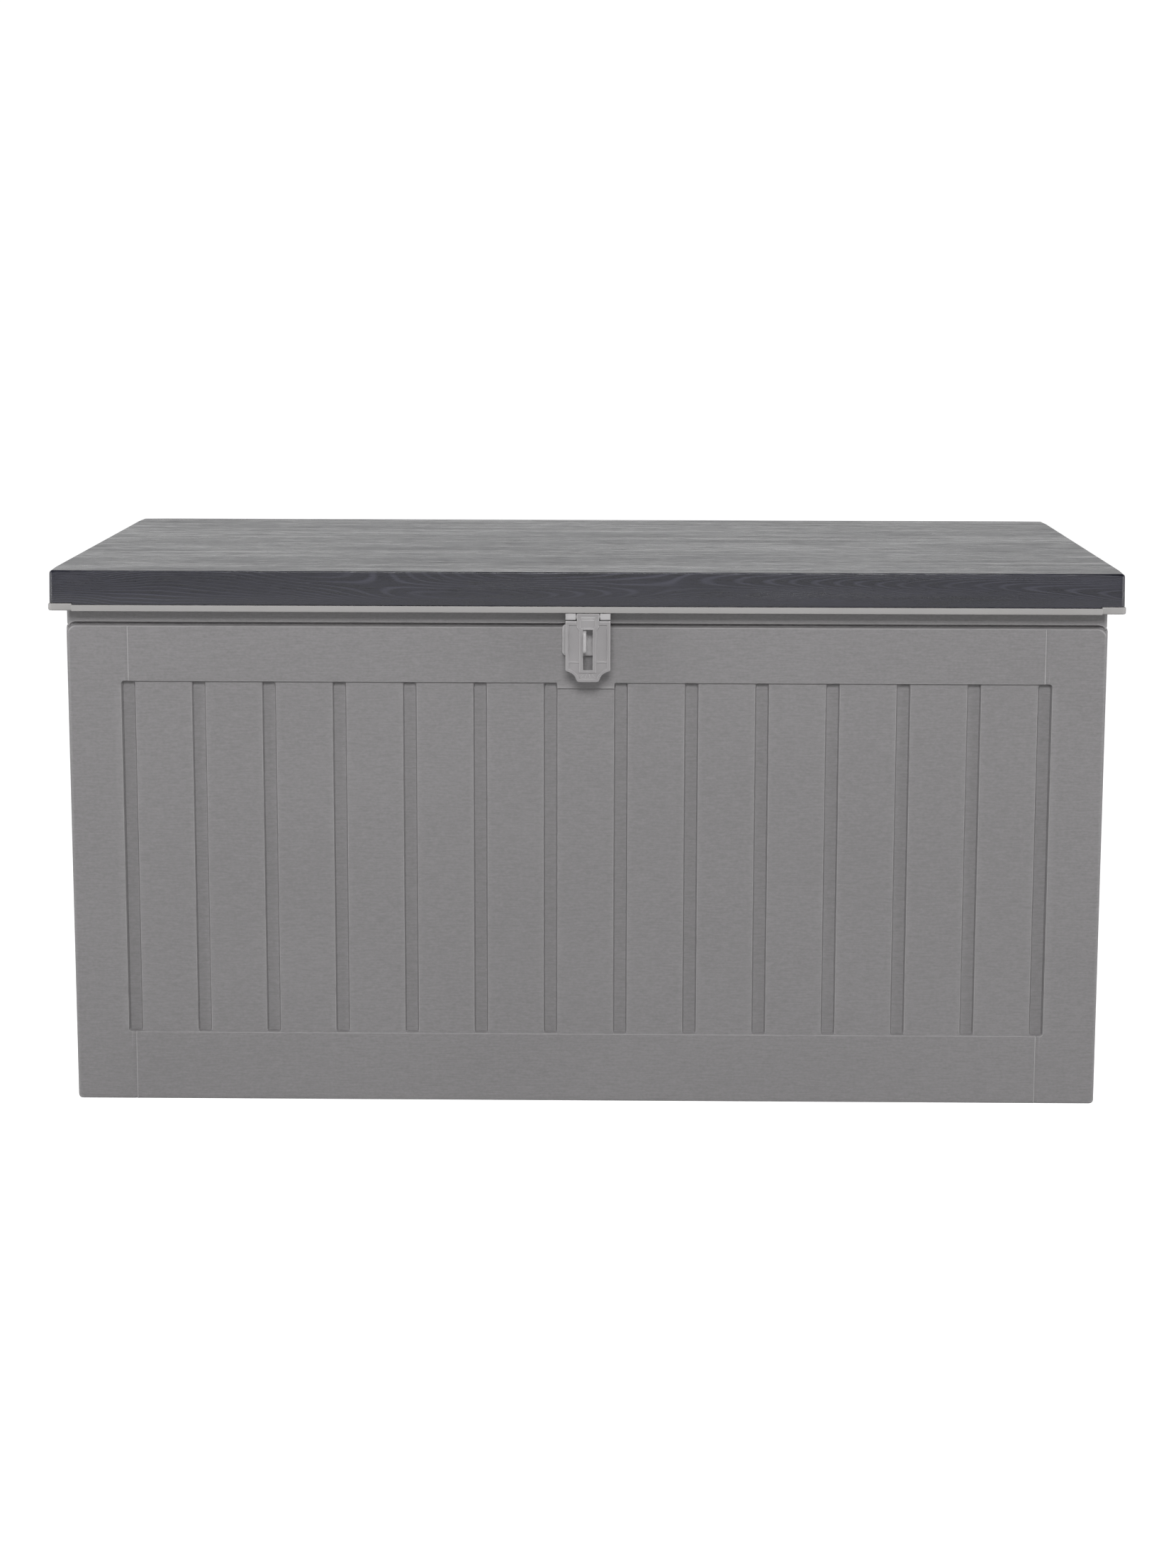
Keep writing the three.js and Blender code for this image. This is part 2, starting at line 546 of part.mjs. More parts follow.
function hingeBodyLeaf() {
  const inner = HINGE_MIDDLE + HINGE_PLAY;
  const plateZ = [-BODY_LEAF_DROP, BODY_LEAF_RISE];
  let leaf = block([-BODY_LEAF_HALF, BODY_LEAF_HALF], [BODY_LEAF_BACK, BODY_LEAF_FACE], plateZ);
  leaf = leaf.add(knuckle(inner, HINGE_OUTER, HINGE_KNUCKLE_RADIUS));
  leaf = leaf.add(knuckle(-HINGE_OUTER, -inner, HINGE_KNUCKLE_RADIUS));
  leaf = leaf.add(blockPair([inner, HINGE_OUTER], [BODY_LEAF_BACK, 0], [-STOP_BOTTOM, BODY_ARM_RISE]));
  leaf = leaf.add(blockPair([inner, HINGE_OUTER], [BODY_LEAF_BACK, STOP_REACH], [-STOP_BOTTOM, -STOP_TOP]));
  leaf = leaf.subtract(hingeBore);
  for (const x of [-HINGE_SCREW_X, HINGE_SCREW_X]) {
    const seat = new THREE.Vector3(x, BODY_LEAF_FACE, HINGE_SCREW_Z - HINGE_AXIS_Z);
    leaf = leaf.subtract(hole(seat, toward(Y, -1), HINGE_LEAF_THICKNESS + CUT));
  }
  return leaf;
}

function hingeLidLeaf() {
  const plateZ = [LID_LEAF_BOTTOM, LID_LEAF_BOTTOM + HINGE_LEAF_THICKNESS];
  let leaf = block([-LID_LEAF_HALF, LID_LEAF_HALF], LID_LEAF_Y, plateZ);
  leaf = leaf.add(knuckle(-HINGE_MIDDLE, HINGE_MIDDLE, HINGE_KNUCKLE_RADIUS));
  leaf = leaf.add(block(
    [-HINGE_MIDDLE, HINGE_MIDDLE], [-HINGE_KNUCKLE_RADIUS, HINGE_KNUCKLE_RADIUS], [0, LID_LEAF_BOTTOM + CUT],
  ));
  leaf = leaf.subtract(hingeBore);
  for (const x of [-LID_SCREW_X, LID_SCREW_X]) {
    const seat = new THREE.Vector3(x, LID_SCREW_Y, LID_LEAF_BOTTOM);
    leaf = leaf.subtract(hole(seat, Z, HINGE_LEAF_THICKNESS + CUT));
  }
  return leaf;
}

function hingePin() {
  const headStart = HINGE_OUTER + GAP;
  const pin = knuckle(-HINGE_OUTER - PIN_OVERHANG, HINGE_OUTER + PIN_OVERHANG, HINGE_PIN_RADIUS);
  return pin.add(knuckle(headStart, headStart + PIN_HEAD_LENGTH, PIN_HEAD_RADIUS));
}

for (const [side, x] of [['left', -HINGE_X], ['right', HINGE_X]]) {
  const axis = [x, HINGE_AXIS_Y, HINGE_AXIS_Z];
  addPiece(`hinge_body_leaf_${side}`, hingeBodyLeaf(), linerPlastic, axis);
  addPiece(`hinge_lid_leaf_${side}`, hingeLidLeaf(), linerPlastic, axis);
  addPiece(`hinge_pin_${side}`, hingePin(), zincSteel, axis);
  [-1, 1].forEach((sign, i) => {
    const bodySeat = new THREE.Vector3(x + sign * HINGE_SCREW_X, HINGE_AXIS_Y + BODY_LEAF_FACE, HINGE_SCREW_Z);
    const lidSeat = new THREE.Vector3(
      x + sign * LID_SCREW_X, HINGE_AXIS_Y + LID_SCREW_Y, HINGE_AXIS_Z + LID_LEAF_BOTTOM,
    );
    addScrew(`hinge_body_screw_${side}_${i + 1}`, bodySeat, toward(Y, -1), LEAF_SCREW_LENGTH);
    addScrew(`hinge_lid_screw_${side}_${i + 1}`, lidSeat, Z, HINGE_LEAF_THICKNESS + SEAT_SCREW_BITE);
    liner = liner.subtract(hole(lidSeat.setZ(LID_BOTTOM), Z, SEAT_HOLE_DEPTH));
  });
}

// ---------- hasp: bracket under the lid's edge, pin and slotted flap, written about the pin's axis ----------
const haspBore = knuckle(-HASP_HALF_WIDTH - CUT, HASP_HALF_WIDTH + CUT, HASP_BORE_RADIUS);

function haspBracket() {
  const inner = HASP_STRAP_HALF + HASP_PLAY;
  const plateY = [BRACKET_FRONT, BRACKET_BACK];
  let bracket = block([-HASP_HALF_WIDTH, HASP_HALF_WIDTH], plateY, [BRACKET_BOTTOM, BRACKET_TOP]);
  bracket = bracket.add(knuckle(inner, HASP_HALF_WIDTH, HASP_KNUCKLE_RADIUS));
  bracket = bracket.add(knuckle(-HASP_HALF_WIDTH, -inner, HASP_KNUCKLE_RADIUS));
  bracket = bracket.add(blockPair(
    [inner, HASP_HALF_WIDTH], [0, BRACKET_ARM_BACK], [-HASP_KNUCKLE_RADIUS, BRACKET_TOP],
  ));
  bracket = bracket.subtract(haspBore);
  for (const x of [-BRACKET_SCREW_X, BRACKET_SCREW_X]) {
    const seat = new THREE.Vector3(x, BRACKET_SCREW_Y, BRACKET_BOTTOM);
    bracket = bracket.subtract(hole(seat, Z, BRACKET_TOP - BRACKET_BOTTOM + CUT));
  }
  return bracket;
}

// The flap's outline from the front: straight sides, hollow shoulders and a narrow tip.
function flapPlate() {
  const shape = new THREE.Shape();
  const shoulderEnd = FLAP_TIP_STRAIGHT - FLAP_TIP;
  shape.moveTo(-HASP_HALF_WIDTH, -FLAP_TOP);
  shape.lineTo(-HASP_HALF_WIDTH, -FLAP_SHOULDER);
  shape.quadraticCurveTo(-FLAP_TIP_HALF, -FLAP_SHOULDER, -FLAP_TIP_HALF, shoulderEnd);
  shape.lineTo(-FLAP_TIP_HALF, -FLAP_TIP);
  shape.lineTo(FLAP_TIP_HALF, -FLAP_TIP);
  shape.lineTo(FLAP_TIP_HALF, shoulderEnd);
  shape.quadraticCurveTo(FLAP_TIP_HALF, -FLAP_SHOULDER, HASP_HALF_WIDTH, -FLAP_SHOULDER);
  shape.lineTo(HASP_HALF_WIDTH, -FLAP_TOP);
  return extruded(shape, FLAP_FRONT - FLAP_BACK).rotate([90, 0, 0]).translate(0, -FLAP_BACK, 0);
}

function haspFlap() {
  const field = [SLOT_HALF + FLAP_STRAP, HASP_HALF_WIDTH - FLAP_BORDER];
  const fieldZ = [-FLAP_FIELD_END, -FLAP_TOP - FLAP_BORDER];
  let flap = flapPlate();
  flap = flap.subtract(blockPair(field, [-FLAP_FRONT - CUT, FLAP_FIELD_DEPTH - FLAP_FRONT], fieldZ));
  flap = flap.add(knuckle(-HASP_STRAP_HALF, HASP_STRAP_HALF, HASP_KNUCKLE_RADIUS));
  flap = flap.add(block([-HASP_STRAP_HALF, HASP_STRAP_HALF], [-HASP_KNUCKLE_RADIUS, 0], [-FLAP_TOP - CUT, 0]));
  flap = flap.subtract(haspBore);
  return flap.subtract(block([-SLOT_HALF, SLOT_HALF], [-FLAP_FRONT - CUT, CUT], [-SLOT_BOTTOM, -SLOT_TOP]));
}

const haspAxis = [HASP_X, HASP_AXIS_Y, HASP_AXIS_Z];
addPiece('hasp_bracket', haspBracket(), haspPlastic, haspAxis);
addPiece('hasp_flap', haspFlap(), haspPlastic, haspAxis);
const haspPin = knuckle(HASP_PLAY - HASP_HALF_WIDTH, HASP_HALF_WIDTH - HASP_PLAY, HASP_PIN_RADIUS);
addPiece('hasp_pin', haspPin, zincSteel, haspAxis);
[-1, 1].forEach((sign, i) => {
  const seat = new THREE.Vector3(
    HASP_X + sign * BRACKET_SCREW_X, HASP_AXIS_Y + BRACKET_SCREW_Y, HASP_AXIS_Z + BRACKET_BOTTOM,
  );
  addScrew(`hasp_bracket_screw_${i + 1}`, seat, Z, BRACKET_TOP - BRACKET_BOTTOM + SEAT_SCREW_BITE);
  liner = liner.subtract(hole(seat.setZ(LID_BOTTOM), Z, SEAT_HOLE_DEPTH));
});
addPiece('lid_liner', liner, linerPlastic);
addPiece('lid_cover', cover, lidPlastic);

// ---------- padlock staple on the front wall ----------
function staplePlate() {
  const finY = [FIN_TIP, STAPLE_FRONT + CUT];
  let plate = block([-STAPLE_HALF, STAPLE_HALF], [STAPLE_FRONT, FRONT_Y - GAP], [STAPLE_BOTTOM, STAPLE_TOP]);
  plate = plate.add(block([-FIN_HALF, FIN_HALF], finY, [FIN_BOTTOM, FIN_TOP]));
  const holeStart = new THREE.Vector3(-FIN_HALF - CUT, FIN_TIP + PADLOCK_HOLE_INSET, (FIN_BOTTOM + FIN_TOP) / 2);
  plate = plate.subtract(bar(holeStart, X, 2 * (FIN_HALF + CUT), PADLOCK_HOLE_RADIUS));
  for (const x of [-STAPLE_SCREW_X, STAPLE_SCREW_X]) {
    plate = plate.subtract(hole(new THREE.Vector3(x, STAPLE_FRONT, STAPLE_SCREW_Z), Y, STAPLE_THICKNESS + CUT));
  }
  return plate;
}

addPiece('staple_plate', staplePlate(), haspPlastic, [STAPLE_X, 0, 0]);
[-1, 1].forEach((sign, i) => {
  const seat = new THREE.Vector3(STAPLE_X + sign * STAPLE_SCREW_X, STAPLE_FRONT, STAPLE_SCREW_Z);
  addScrew(`staple_screw_${i + 1}`, seat, Y, STAPLE_THICKNESS + STAPLE_SCREW_BITE);
});

export default group;
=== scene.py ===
"""The looks of a deck storage box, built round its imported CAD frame.

Shapes are written in millimetres in the row frame (+X right, +Y to the back, +Z up) and turned into metres
when a mesh is made. Places come from the CAD nodes' boxes, so every piece lands where its node is.
"""
import json
import math

import bmesh
import bpy
import numpy as np
from mathutils import Matrix, Vector

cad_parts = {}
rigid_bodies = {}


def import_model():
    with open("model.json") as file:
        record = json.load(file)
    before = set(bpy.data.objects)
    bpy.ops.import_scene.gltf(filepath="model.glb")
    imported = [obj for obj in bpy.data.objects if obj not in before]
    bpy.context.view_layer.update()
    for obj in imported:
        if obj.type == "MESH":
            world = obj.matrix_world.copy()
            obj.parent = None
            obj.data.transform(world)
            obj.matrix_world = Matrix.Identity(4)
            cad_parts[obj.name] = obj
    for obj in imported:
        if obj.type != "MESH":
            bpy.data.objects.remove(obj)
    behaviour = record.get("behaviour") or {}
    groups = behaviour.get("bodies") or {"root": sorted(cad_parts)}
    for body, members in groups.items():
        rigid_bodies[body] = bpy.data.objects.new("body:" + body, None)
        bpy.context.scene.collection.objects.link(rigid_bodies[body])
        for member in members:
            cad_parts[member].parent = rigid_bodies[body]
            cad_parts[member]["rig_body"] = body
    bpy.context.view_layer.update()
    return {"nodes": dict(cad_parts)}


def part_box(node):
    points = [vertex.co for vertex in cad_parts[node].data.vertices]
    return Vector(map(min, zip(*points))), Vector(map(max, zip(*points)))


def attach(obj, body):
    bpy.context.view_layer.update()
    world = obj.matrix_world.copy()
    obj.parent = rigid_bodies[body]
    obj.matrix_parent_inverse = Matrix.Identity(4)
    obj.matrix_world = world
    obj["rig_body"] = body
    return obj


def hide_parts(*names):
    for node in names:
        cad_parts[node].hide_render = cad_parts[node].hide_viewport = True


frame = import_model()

MM = 0.001


def node_box(node):
    """A CAD node's lowest and highest corners, in millimetres."""
    low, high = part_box(node)
    return np.array(low) / MM, np.array(high) / MM


# ---------- sizes of the moulded detail, in mm ----------
WALL = 4.0
BODY_CORNER = 6.0  # radius of the body's upright corners
FOOT_ROUND = 4.0  # bottom edge of the walls
FOOT_SHARE = 0.8  # how deep that rounding goes, as a share of a full quarter round
TOP_ROUND = 1.2
FIELD_BOTTOM = 79.4
FIELD_TOP = 481.4
MIDDLE_DROP = 6.4  # the rail reaches lower over the middle board
MIDDLE_RISE = 20.0  # how far that drop's outline runs on above the field
MIDDLE_CORNER = 0.5
BOARD_DROP = 2.0
GROOVE_WIDTH = 14.3
GROOVE_DEPTH = 4.2
GROOVE_CORNER = 3.0
EDGE_SOFT = 0.9  # half width of a small moulded step
GROOVE_SOFT = 0.9
LONG_GROOVES, LONG_PITCH = 14, 78.5
SIDE_GROOVES, SIDE_PITCH = 7, 75.0
LINE_BOTTOM = 543.9  # level groove under the rim
LINE_HEIGHT = 4.5
LINE_DEPTH = 6.0
LINE_SOFT = 1.0
LINE_SHOULDER = 0.7  # how far the groove's rounded edges lie inside its full height
LINE_END = 0.3  # share of its depth left at the corners, where it runs out
LINE_CORNER = 11.0  # radius by which it turns down at the corners
BAND_SETBACK = 1.0  # of the band above it
JOINT_INSET = GROOVE_WIDTH / 2  # the joint of rail and stile is in line with the outermost groove's middle
JOINT_WIDTH = 4.0
JOINT_DEPTH = 0.6
JOINT_SOFT = 0.1
BEAD_RISE = 0.4  # a fine raised line along the joint
BEAD_OFFSET = 0.8
BEAD_HALF = 0.7
BEAD_STOP = 1.0  # below the level groove
GRIP_HALF = 65.0
GRIP_BOTTOM, GRIP_TOP = 492.0, 528.0
GRIP_DEPTH = 20.0
GRIP_CORNER = 13.0
GRIP_SOFT = 3.0
HINGE_X = 400.0  # the hinges' distance from the middle

# mesh lines, as distances from the edge that each set follows
EDGE_LINES = (-1.5, -1.0, -0.35, 0.35, 1.0, 1.5)  # across a moulded step, in its half widths
FOOT_LINES = (0.04, 0.15, 0.35, 0.65, 1.0, 1.3)  # in the foot's radius
TOP_LINES = (0.05, 0.2, 0.5, 1.0, 1.4)  # in the top edge's radius
GROOVE_END_LINES = (2.4, 3.4, 4.4)
GRIP_LINES = (6.0, 9.0, 12.0)
JOINT_LINES = (-2.0, -1.5, -0.8, -0.1, 0.1, 1.5, 4.0)
FREE_EDGE_LINES = (0.5, 1.0)  # they keep the painted edge highlight to a narrow stripe
LINE_STEP = 0.9  # up the turned-down ends of the level groove
CORNER_STEP = 0.75  # round the upright corners
CORNER_STEPS_EACH_WAY = 14

body_low, body_high = node_box("front_panel")
BODY_HALF_X = body_high[0]
BODY_TOP = body_high[2]
CORNER_RETURN = body_high[1] - body_low[1]
FRONT_Y = body_low[1]
BACK_Y = node_box("back_panel")[1][1]
PANEL_GAP = 0.3  # between an end wall and a long wall
SIDE_HALF = -FRONT_Y - CORNER_RETURN - PANEL_GAP


# ---------- materials ----------
# grains: how often a noise repeats in a metre, along X, Y and Z
WALL_STREAKS = (55.0, 55.0, 560.0)
WALL_MOTTLE = (270.0, 270.0, 420.0)
WALL_DRIFT = (3.0, 3.0, 5.0)
# the next grain breaks the painted edge highlight into patches
HIGHLIGHT_PATCHES = (60.0, 60.0, 60.0)
PEBBLES = (900.0, 900.0, 900.0)
SMOOTH_DRIFT = (9.0, 9.0, 9.0)
LID_WAVER = (5.0, 14.0, 14.0)
LID_FLOW = (1.3, 9.0, 13.0)
LID_FIBRES = (45.0, 230.0, 520.0)
LID_PORES = (16.0, 120.0, 300.0)
LID_BANDS = (4.5, 55.0, 70.0)
LID_RING_PATCHES = (6.0, 20.0, 34.0)
LID_SPECKLE = (230.0, 300.0, 420.0)
STEEL_BRUSHING = (400.0, 400.0, 2600.0)
RING_DENSITY = 720.0  # how many rings the lid's slow flow is cut into
RING_WANDER = 0.012  # how far they waver, in metres
HIGHLIGHT_FROM, HIGHLIGHT_FULL = 0.512, 0.55  # edge sharpness at which the painted edge highlight begins and is complete

# linear colours, lightest first, then the painted edge highlight's
WALL_COLOURS = ((0.244, 0.236, 0.241), (0.193, 0.187, 0.19), (0.43, 0.42, 0.425))
LINER_COLOURS = ((0.36, 0.35, 0.346), (0.335, 0.326, 0.321), (0.42, 0.41, 0.405))
HASP_COLOURS = ((0.322, 0.311, 0.317), (0.285, 0.275, 0.28), (0.56, 0.55, 0.555))
STEEL_COLOURS = ((0.6, 0.61, 0.62), (0.46, 0.47, 0.48))
# the lid's, lightest first, then its ring lines' and pores'
LID_COLOURS = ((0.015, 0.015, 0.026), (0.004, 0.004, 0.008), (0.044, 0.044, 0.063), (0.006, 0.006, 0.01))
WALL_ROUGHNESS, LID_ROUGHNESS, LINER_ROUGHNESS, HASP_ROUGHNESS = 0.42, 0.27, 0.5, 0.42


def node_tree(name):
    material = bpy.data.materials.new(name)
    material.use_nodes = True
    tree = material.node_tree
    return material, tree, tree.nodes["Principled BSDF"]


def add(tree, kind, settings=None, **values):
    """A shader node with some of its properties and unlinked inputs set."""
    node = tree.nodes.new(kind)
    for key, value in (settings or {}).items():
        setattr(node, key, value)
    for key, value in values.items():
        node.inputs[key.replace("_", " ")].default_value = value
    return node


def stretched(tree, scale, warp=None):
    """Row-frame coordinates in metres, scaled by axis, so that a noise on them has that grain."""
    place = add(tree, "ShaderNodeTexCoord").outputs["Object"]
    if warp is not None:
        bend = add(tree, "ShaderNodeVectorMath", {"operation": "ADD"})
        tree.links.new(place, bend.inputs[0])
        tree.links.new(warp, bend.inputs[1])
        place = bend.outputs["Vector"]
    mapping = add(tree, "ShaderNodeMapping", Scale=scale)
    tree.links.new(place, mapping.inputs["Vector"])
    return mapping.outputs["Vector"]


def noise(tree, vector, scale=1.0, detail=3.0, roughness=0.55):
    node = add(tree, "ShaderNodeTexNoise", Scale=scale, Detail=detail, Roughness=roughness)
    tree.links.new(vector, node.inputs["Vector"])
    return node.outputs["Fac"]


def remap(tree, value, low, high, to_low=0.0, to_high=1.0):
    node = add(tree, "ShaderNodeMapRange", From_Min=low, From_Max=high, To_Min=to_low, To_Max=to_high)
    tree.links.new(value, node.inputs["Value"])
    return node.outputs["Result"]


def maths(tree, operation, *values):
    node = add(tree, "ShaderNodeMath", {"operation": operation})
    for socket, value in zip(node.inputs, values):
        if isinstance(value, (int, float)):
            socket.default_value = value
        else:
            tree.links.new(value, socket)
    return node.outputs["Value"]


def weighted(tree, *terms):
    """The sum of some values, each times its own weight."""
    total = None
    for value, weight in terms:
        term = maths(tree, "MULTIPLY", value, weight)
        total = term if total is None else maths(tree, "ADD", total, term)
    return total


def mix_colour(tree, factor, first, second):
    node = add(tree, "ShaderNodeMix", {"data_type": "RGBA"})
    for name, value in (("Factor", factor), ("A", first), ("B", second)):
        kind = "VALUE" if name == "Factor" else "RGBA"
        socket = next(s for s in node.inputs if s.name == name and s.type == kind)
        if isinstance(value, tuple):
            socket.default_value = (*value, 1.0)
        else:
            tree.links.new(value, socket)
    return next(s for s in node.outputs if s.type == "RGBA")


def dress(tree, shader, colour, gloss, height, strength, distance):
    """Gives the shader a colour, a roughness and a bump of some height."""
    bump = add(tree, "ShaderNodeBump", Strength=strength, Distance=distance)
    tree.links.new(colour, shader.inputs["Base Color"])
    tree.links.new(gloss, shader.inputs["Roughness"])
    tree.links.new(height, bump.inputs["Height"])
    tree.links.new(bump.outputs["Normal"], shader.inputs["Normal"])


def painted_edge_highlight(tree, colour, edge_highlight, most):
    """The colour with a painted highlight on the raised edges, a little uneven."""
    sharpness = add(tree, "ShaderNodeNewGeometry").outputs["Pointiness"]
    patchy = noise(tree, stretched(tree, HIGHLIGHT_PATCHES), detail=3.0)
    on_edges = remap(tree, sharpness, HIGHLIGHT_FROM, HIGHLIGHT_FULL, 0.0, most)
    amount = maths(tree, "MULTIPLY", on_edges, remap(tree, patchy, 0.25, 0.5, 0.4, 1.0))
    return mix_colour(tree, amount, colour, edge_highlight)


def grained_plastic(name, light, dark, edge_highlight, roughness):
    """Moulded resin with a fine level grain: streaks and a mottle in tone, gloss and height, a slow drift of
    tone, and a painted highlight on the raised edges."""
    material, tree, shader = node_tree(name)
    streak = noise(tree, stretched(tree, WALL_STREAKS), detail=4.0, roughness=0.65)
    mottle = noise(tree, stretched(tree, WALL_MOTTLE), detail=3.0, roughness=0.65)
    drift = noise(tree, stretched(tree, WALL_DRIFT), detail=2.0)
    tone = weighted(tree, (streak, 0.45), (mottle, 0.4), (drift, 0.15))
    plain = mix_colour(tree, remap(tree, tone, 0.4, 0.6), dark, light)
    # paler raised edges: a painted highlight
    colour = painted_edge_highlight(tree, plain, edge_highlight, 0.75)
    gloss = remap(tree, streak, 0.3, 0.7, roughness - 0.05, roughness + 0.07)
    dress(tree, shader, colour, gloss, streak, strength=0.22, distance=0.0008)
    return material


def smooth_plastic(name, light, dark, edge_highlight, roughness):
    """Plain satin moulding with a fine pebble, a slow drift of tone, and a painted highlight on the raised
    edges.
    """
    material, tree, shader = node_tree(name)
    pebble = noise(tree, stretched(tree, PEBBLES), detail=2.0)
    drift = noise(tree, stretched(tree, SMOOTH_DRIFT), detail=3.0)
    plain = mix_colour(tree, remap(tree, drift, 0.35, 0.65), dark, light)
    # paler raised edges: a painted highlight
    colour = painted_edge_highlight(tree, plain, edge_highlight, 0.7)
    gloss = remap(tree, pebble, 0.3, 0.7, roughness - 0.04, roughness + 0.05)
    dress(tree, shader, colour, gloss, pebble, strength=0.12, distance=0.0003)
    return material


def wood_grain_plastic(name, light, dark, vein, pore, roughness):
    """Dark resin with a moulded wood grain along X: cathedral rings from the contours of a stretched noise,
    which show in patches, long fine fibres, and short darker pores."""
    material, tree, shader = node_tree(name)
    waver = noise(tree, stretched(tree, LID_WAVER), detail=2.0)
    warp = add(tree, "ShaderNodeCombineXYZ")
    for axis in "YZ":
        tree.links.new(maths(tree, "MULTIPLY", waver, RING_WANDER), warp.inputs[axis])
    flow = noise(tree, stretched(tree, LID_FLOW, warp.outputs["Vector"]), detail=1.0, roughness=0.4)
    rings = maths(tree, "SINE", maths(tree, "MULTIPLY", flow, RING_DENSITY))
    line = remap(tree, rings, 0.2, 1.0)
    fibre = noise(tree, stretched(tree, LID_FIBRES), detail=4.0, roughness=0.7)
    pores = noise(tree, stretched(tree, LID_PORES), detail=3.0, roughness=0.6)
    bands = noise(tree, stretched(tree, LID_BANDS), detail=3.0, roughness=0.6)
    speckle = noise(tree, stretched(tree, LID_SPECKLE), detail=3.0, roughness=0.7)
    tone = weighted(tree, (fibre, 0.55), (bands, 0.45))
    body = mix_colour(tree, remap(tree, tone, 0.36, 0.64), dark, light)
    patches = noise(tree, stretched(tree, LID_RING_PATCHES), detail=2.0)
    showing = remap(tree, patches, 0.38, 0.66, 0.12, 0.85)
    ringed = mix_colour(tree, maths(tree, "MULTIPLY", line, showing), body, vein)
    colour = mix_colour(tree, remap(tree, pores, 0.62, 0.72, 0.0, 0.6), ringed, pore)
    gloss = remap(tree, fibre, 0.3, 0.7, roughness - 0.04, roughness + 0.08)
    gloss = maths(tree, "ADD", gloss, remap(tree, pores, 0.6, 0.72, 0.0, 0.08))
    gloss = maths(tree, "ADD", gloss, remap(tree, bands, 0.3, 0.7, -0.03, 0.05))
    raised = weighted(tree, (fibre, 0.4), (line, 0.25), (speckle, 0.6))
    height = maths(tree, "SUBTRACT", raised, remap(tree, pores, 0.6, 0.72, 0.0, 0.2))
    dress(tree, shader, colour, gloss, height, strength=0.34, distance=0.0007)
    return material


def plated_steel(name, light, dark):
    material, tree, shader = node_tree(name)
    brushed = noise(tree, stretched(tree, STEEL_BRUSHING), detail=2.0)
    colour = mix_colour(tree, remap(tree, brushed, 0.3, 0.7), dark, light)
    gloss = remap(tree, brushed, 0.3, 0.7, 0.28, 0.42)
    shader.inputs["Metallic"].default_value = 1.0
    dress(tree, shader, colour, gloss, brushed, strength=0.1, distance=0.0002)
    return material


MATERIALS = {
    "wall_grey": grained_plastic("wall_plastic", *WALL_COLOURS, WALL_ROUGHNESS),
    "lid_dark": wood_grain_plastic("lid_plastic", *LID_COLOURS, LID_ROUGHNESS),
    "liner_light": smooth_plastic("liner_plastic", *LINER_COLOURS, LINER_ROUGHNESS),
    "hasp_light": smooth_plastic("hasp_plastic", *HASP_COLOURS, HASP_ROUGHNESS),
    "zinc_steel": plated_steel("zinc_steel", *STEEL_COLOURS),
}


# ---------- meshes ----------
class Shape:
    """Closed solids gathered into one mesh, in millimetres."""

    def __init__(self):
        self.points = []
        self.faces = []

    def add(self, points, faces):
        start = len(self.points)
        self.points.extend(map(tuple, points))
        self.faces.extend(tuple(start + i for i in face) for face in faces)
        return self

    def moved(self, matrix):
        """The same solids, moved or turned by a matrix whose lengths are millimetres."""
        turned = Shape()
        turned.points = [tuple(matrix @ Vector(p)) for p in self.points]
        turned.faces = self.faces
        return turned


def faces_between(rings, sides, closed):
    """Four-sided faces between rings of points. With closed, the last ring joins the first."""
    faces = []
    for ring in range(rings if closed else rings - 1):
        here, there = ring * sides, (ring + 1) % rings * sides
        for k in range(sides):
            n = (k + 1) % sides
            faces.append((here + k, here + n, there + n, there + k))
    return faces


def full_turn(sides):
    return [2 * math.pi * k / sides for k in range(sides)]


def on_grid(x, y, z):
    """A grid of points from coordinates that may each be a number, a column, a row or a whole grid."""
    return np.stack(np.broadcast_arrays(x, y, z), 2)


def add_double_surface(shape, front, back, keep=None):
    """A solid between two grids of points. Front faces where (along i) x (along j) points. Cells with keep
    False are left open, and walls close the solid round its edge and round each hole."""
    columns, rows = front.shape[:2]
    if keep is None:
        keep = np.ones((columns - 1, rows - 1), bool)
    count = columns * rows
    index = np.arange(count).reshape(columns, rows)
    i, j = np.nonzero(keep)
    a, b, c, d = index[i, j], index[i + 1, j], index[i + 1, j + 1], index[i, j + 1]
    faces = np.stack([a, b, c, d], 1).tolist()
    faces += (np.stack([d, c, b, a], 1) + count).tolist()
    padded = np.pad(keep, 1)
    for di, dj, ends in ((0, -1, (0, 1)), (1, 0, (1, 2)), (0, 1, (2, 3)), (-1, 0, (3, 0))):
        open_side = ~padded[i + 1 + di, j + 1 + dj]
        corners = np.stack([a, b, c, d], 1)[open_side]
        p, q = corners[:, ends[0]], corners[:, ends[1]]
        faces += np.stack([q, p, p + count, q + count], 1).tolist()
    points = np.concatenate([front.reshape(-1, 3), back.reshape(-1, 3)])
    used = sorted({v for face in faces for v in face})
    renumber = dict(zip(used, range(len(used))))
    return shape.add(points[used], [[renumber[v] for v in face] for face in faces])


THINNEST_SHARE = 0.45  # a block's rounding is at most this share of its thinnest side


def add_block(shape, low, high, radius=0.8, segments=2):
    """A block with rounded edges."""
    low, high = Vector(low), Vector(high)
    bm = bmesh.new()
    bmesh.ops.create_cube(bm, size=1.0)
    size = high - low
    bmesh.ops.scale(bm, vec=size, verts=bm.verts)
    bmesh.ops.translate(bm, vec=(low + high) / 2, verts=bm.verts)
    offset = min(radius, min(size) * THINNEST_SHARE)
    bmesh.ops.bevel(bm, geom=bm.edges[:], offset=offset, segments=segments, profile=0.5, affect="EDGES")
    bm.verts.index_update()
    shape.add([v.co for v in bm.verts], [[v.index for v in f.verts] for f in bm.faces])
    bm.free()


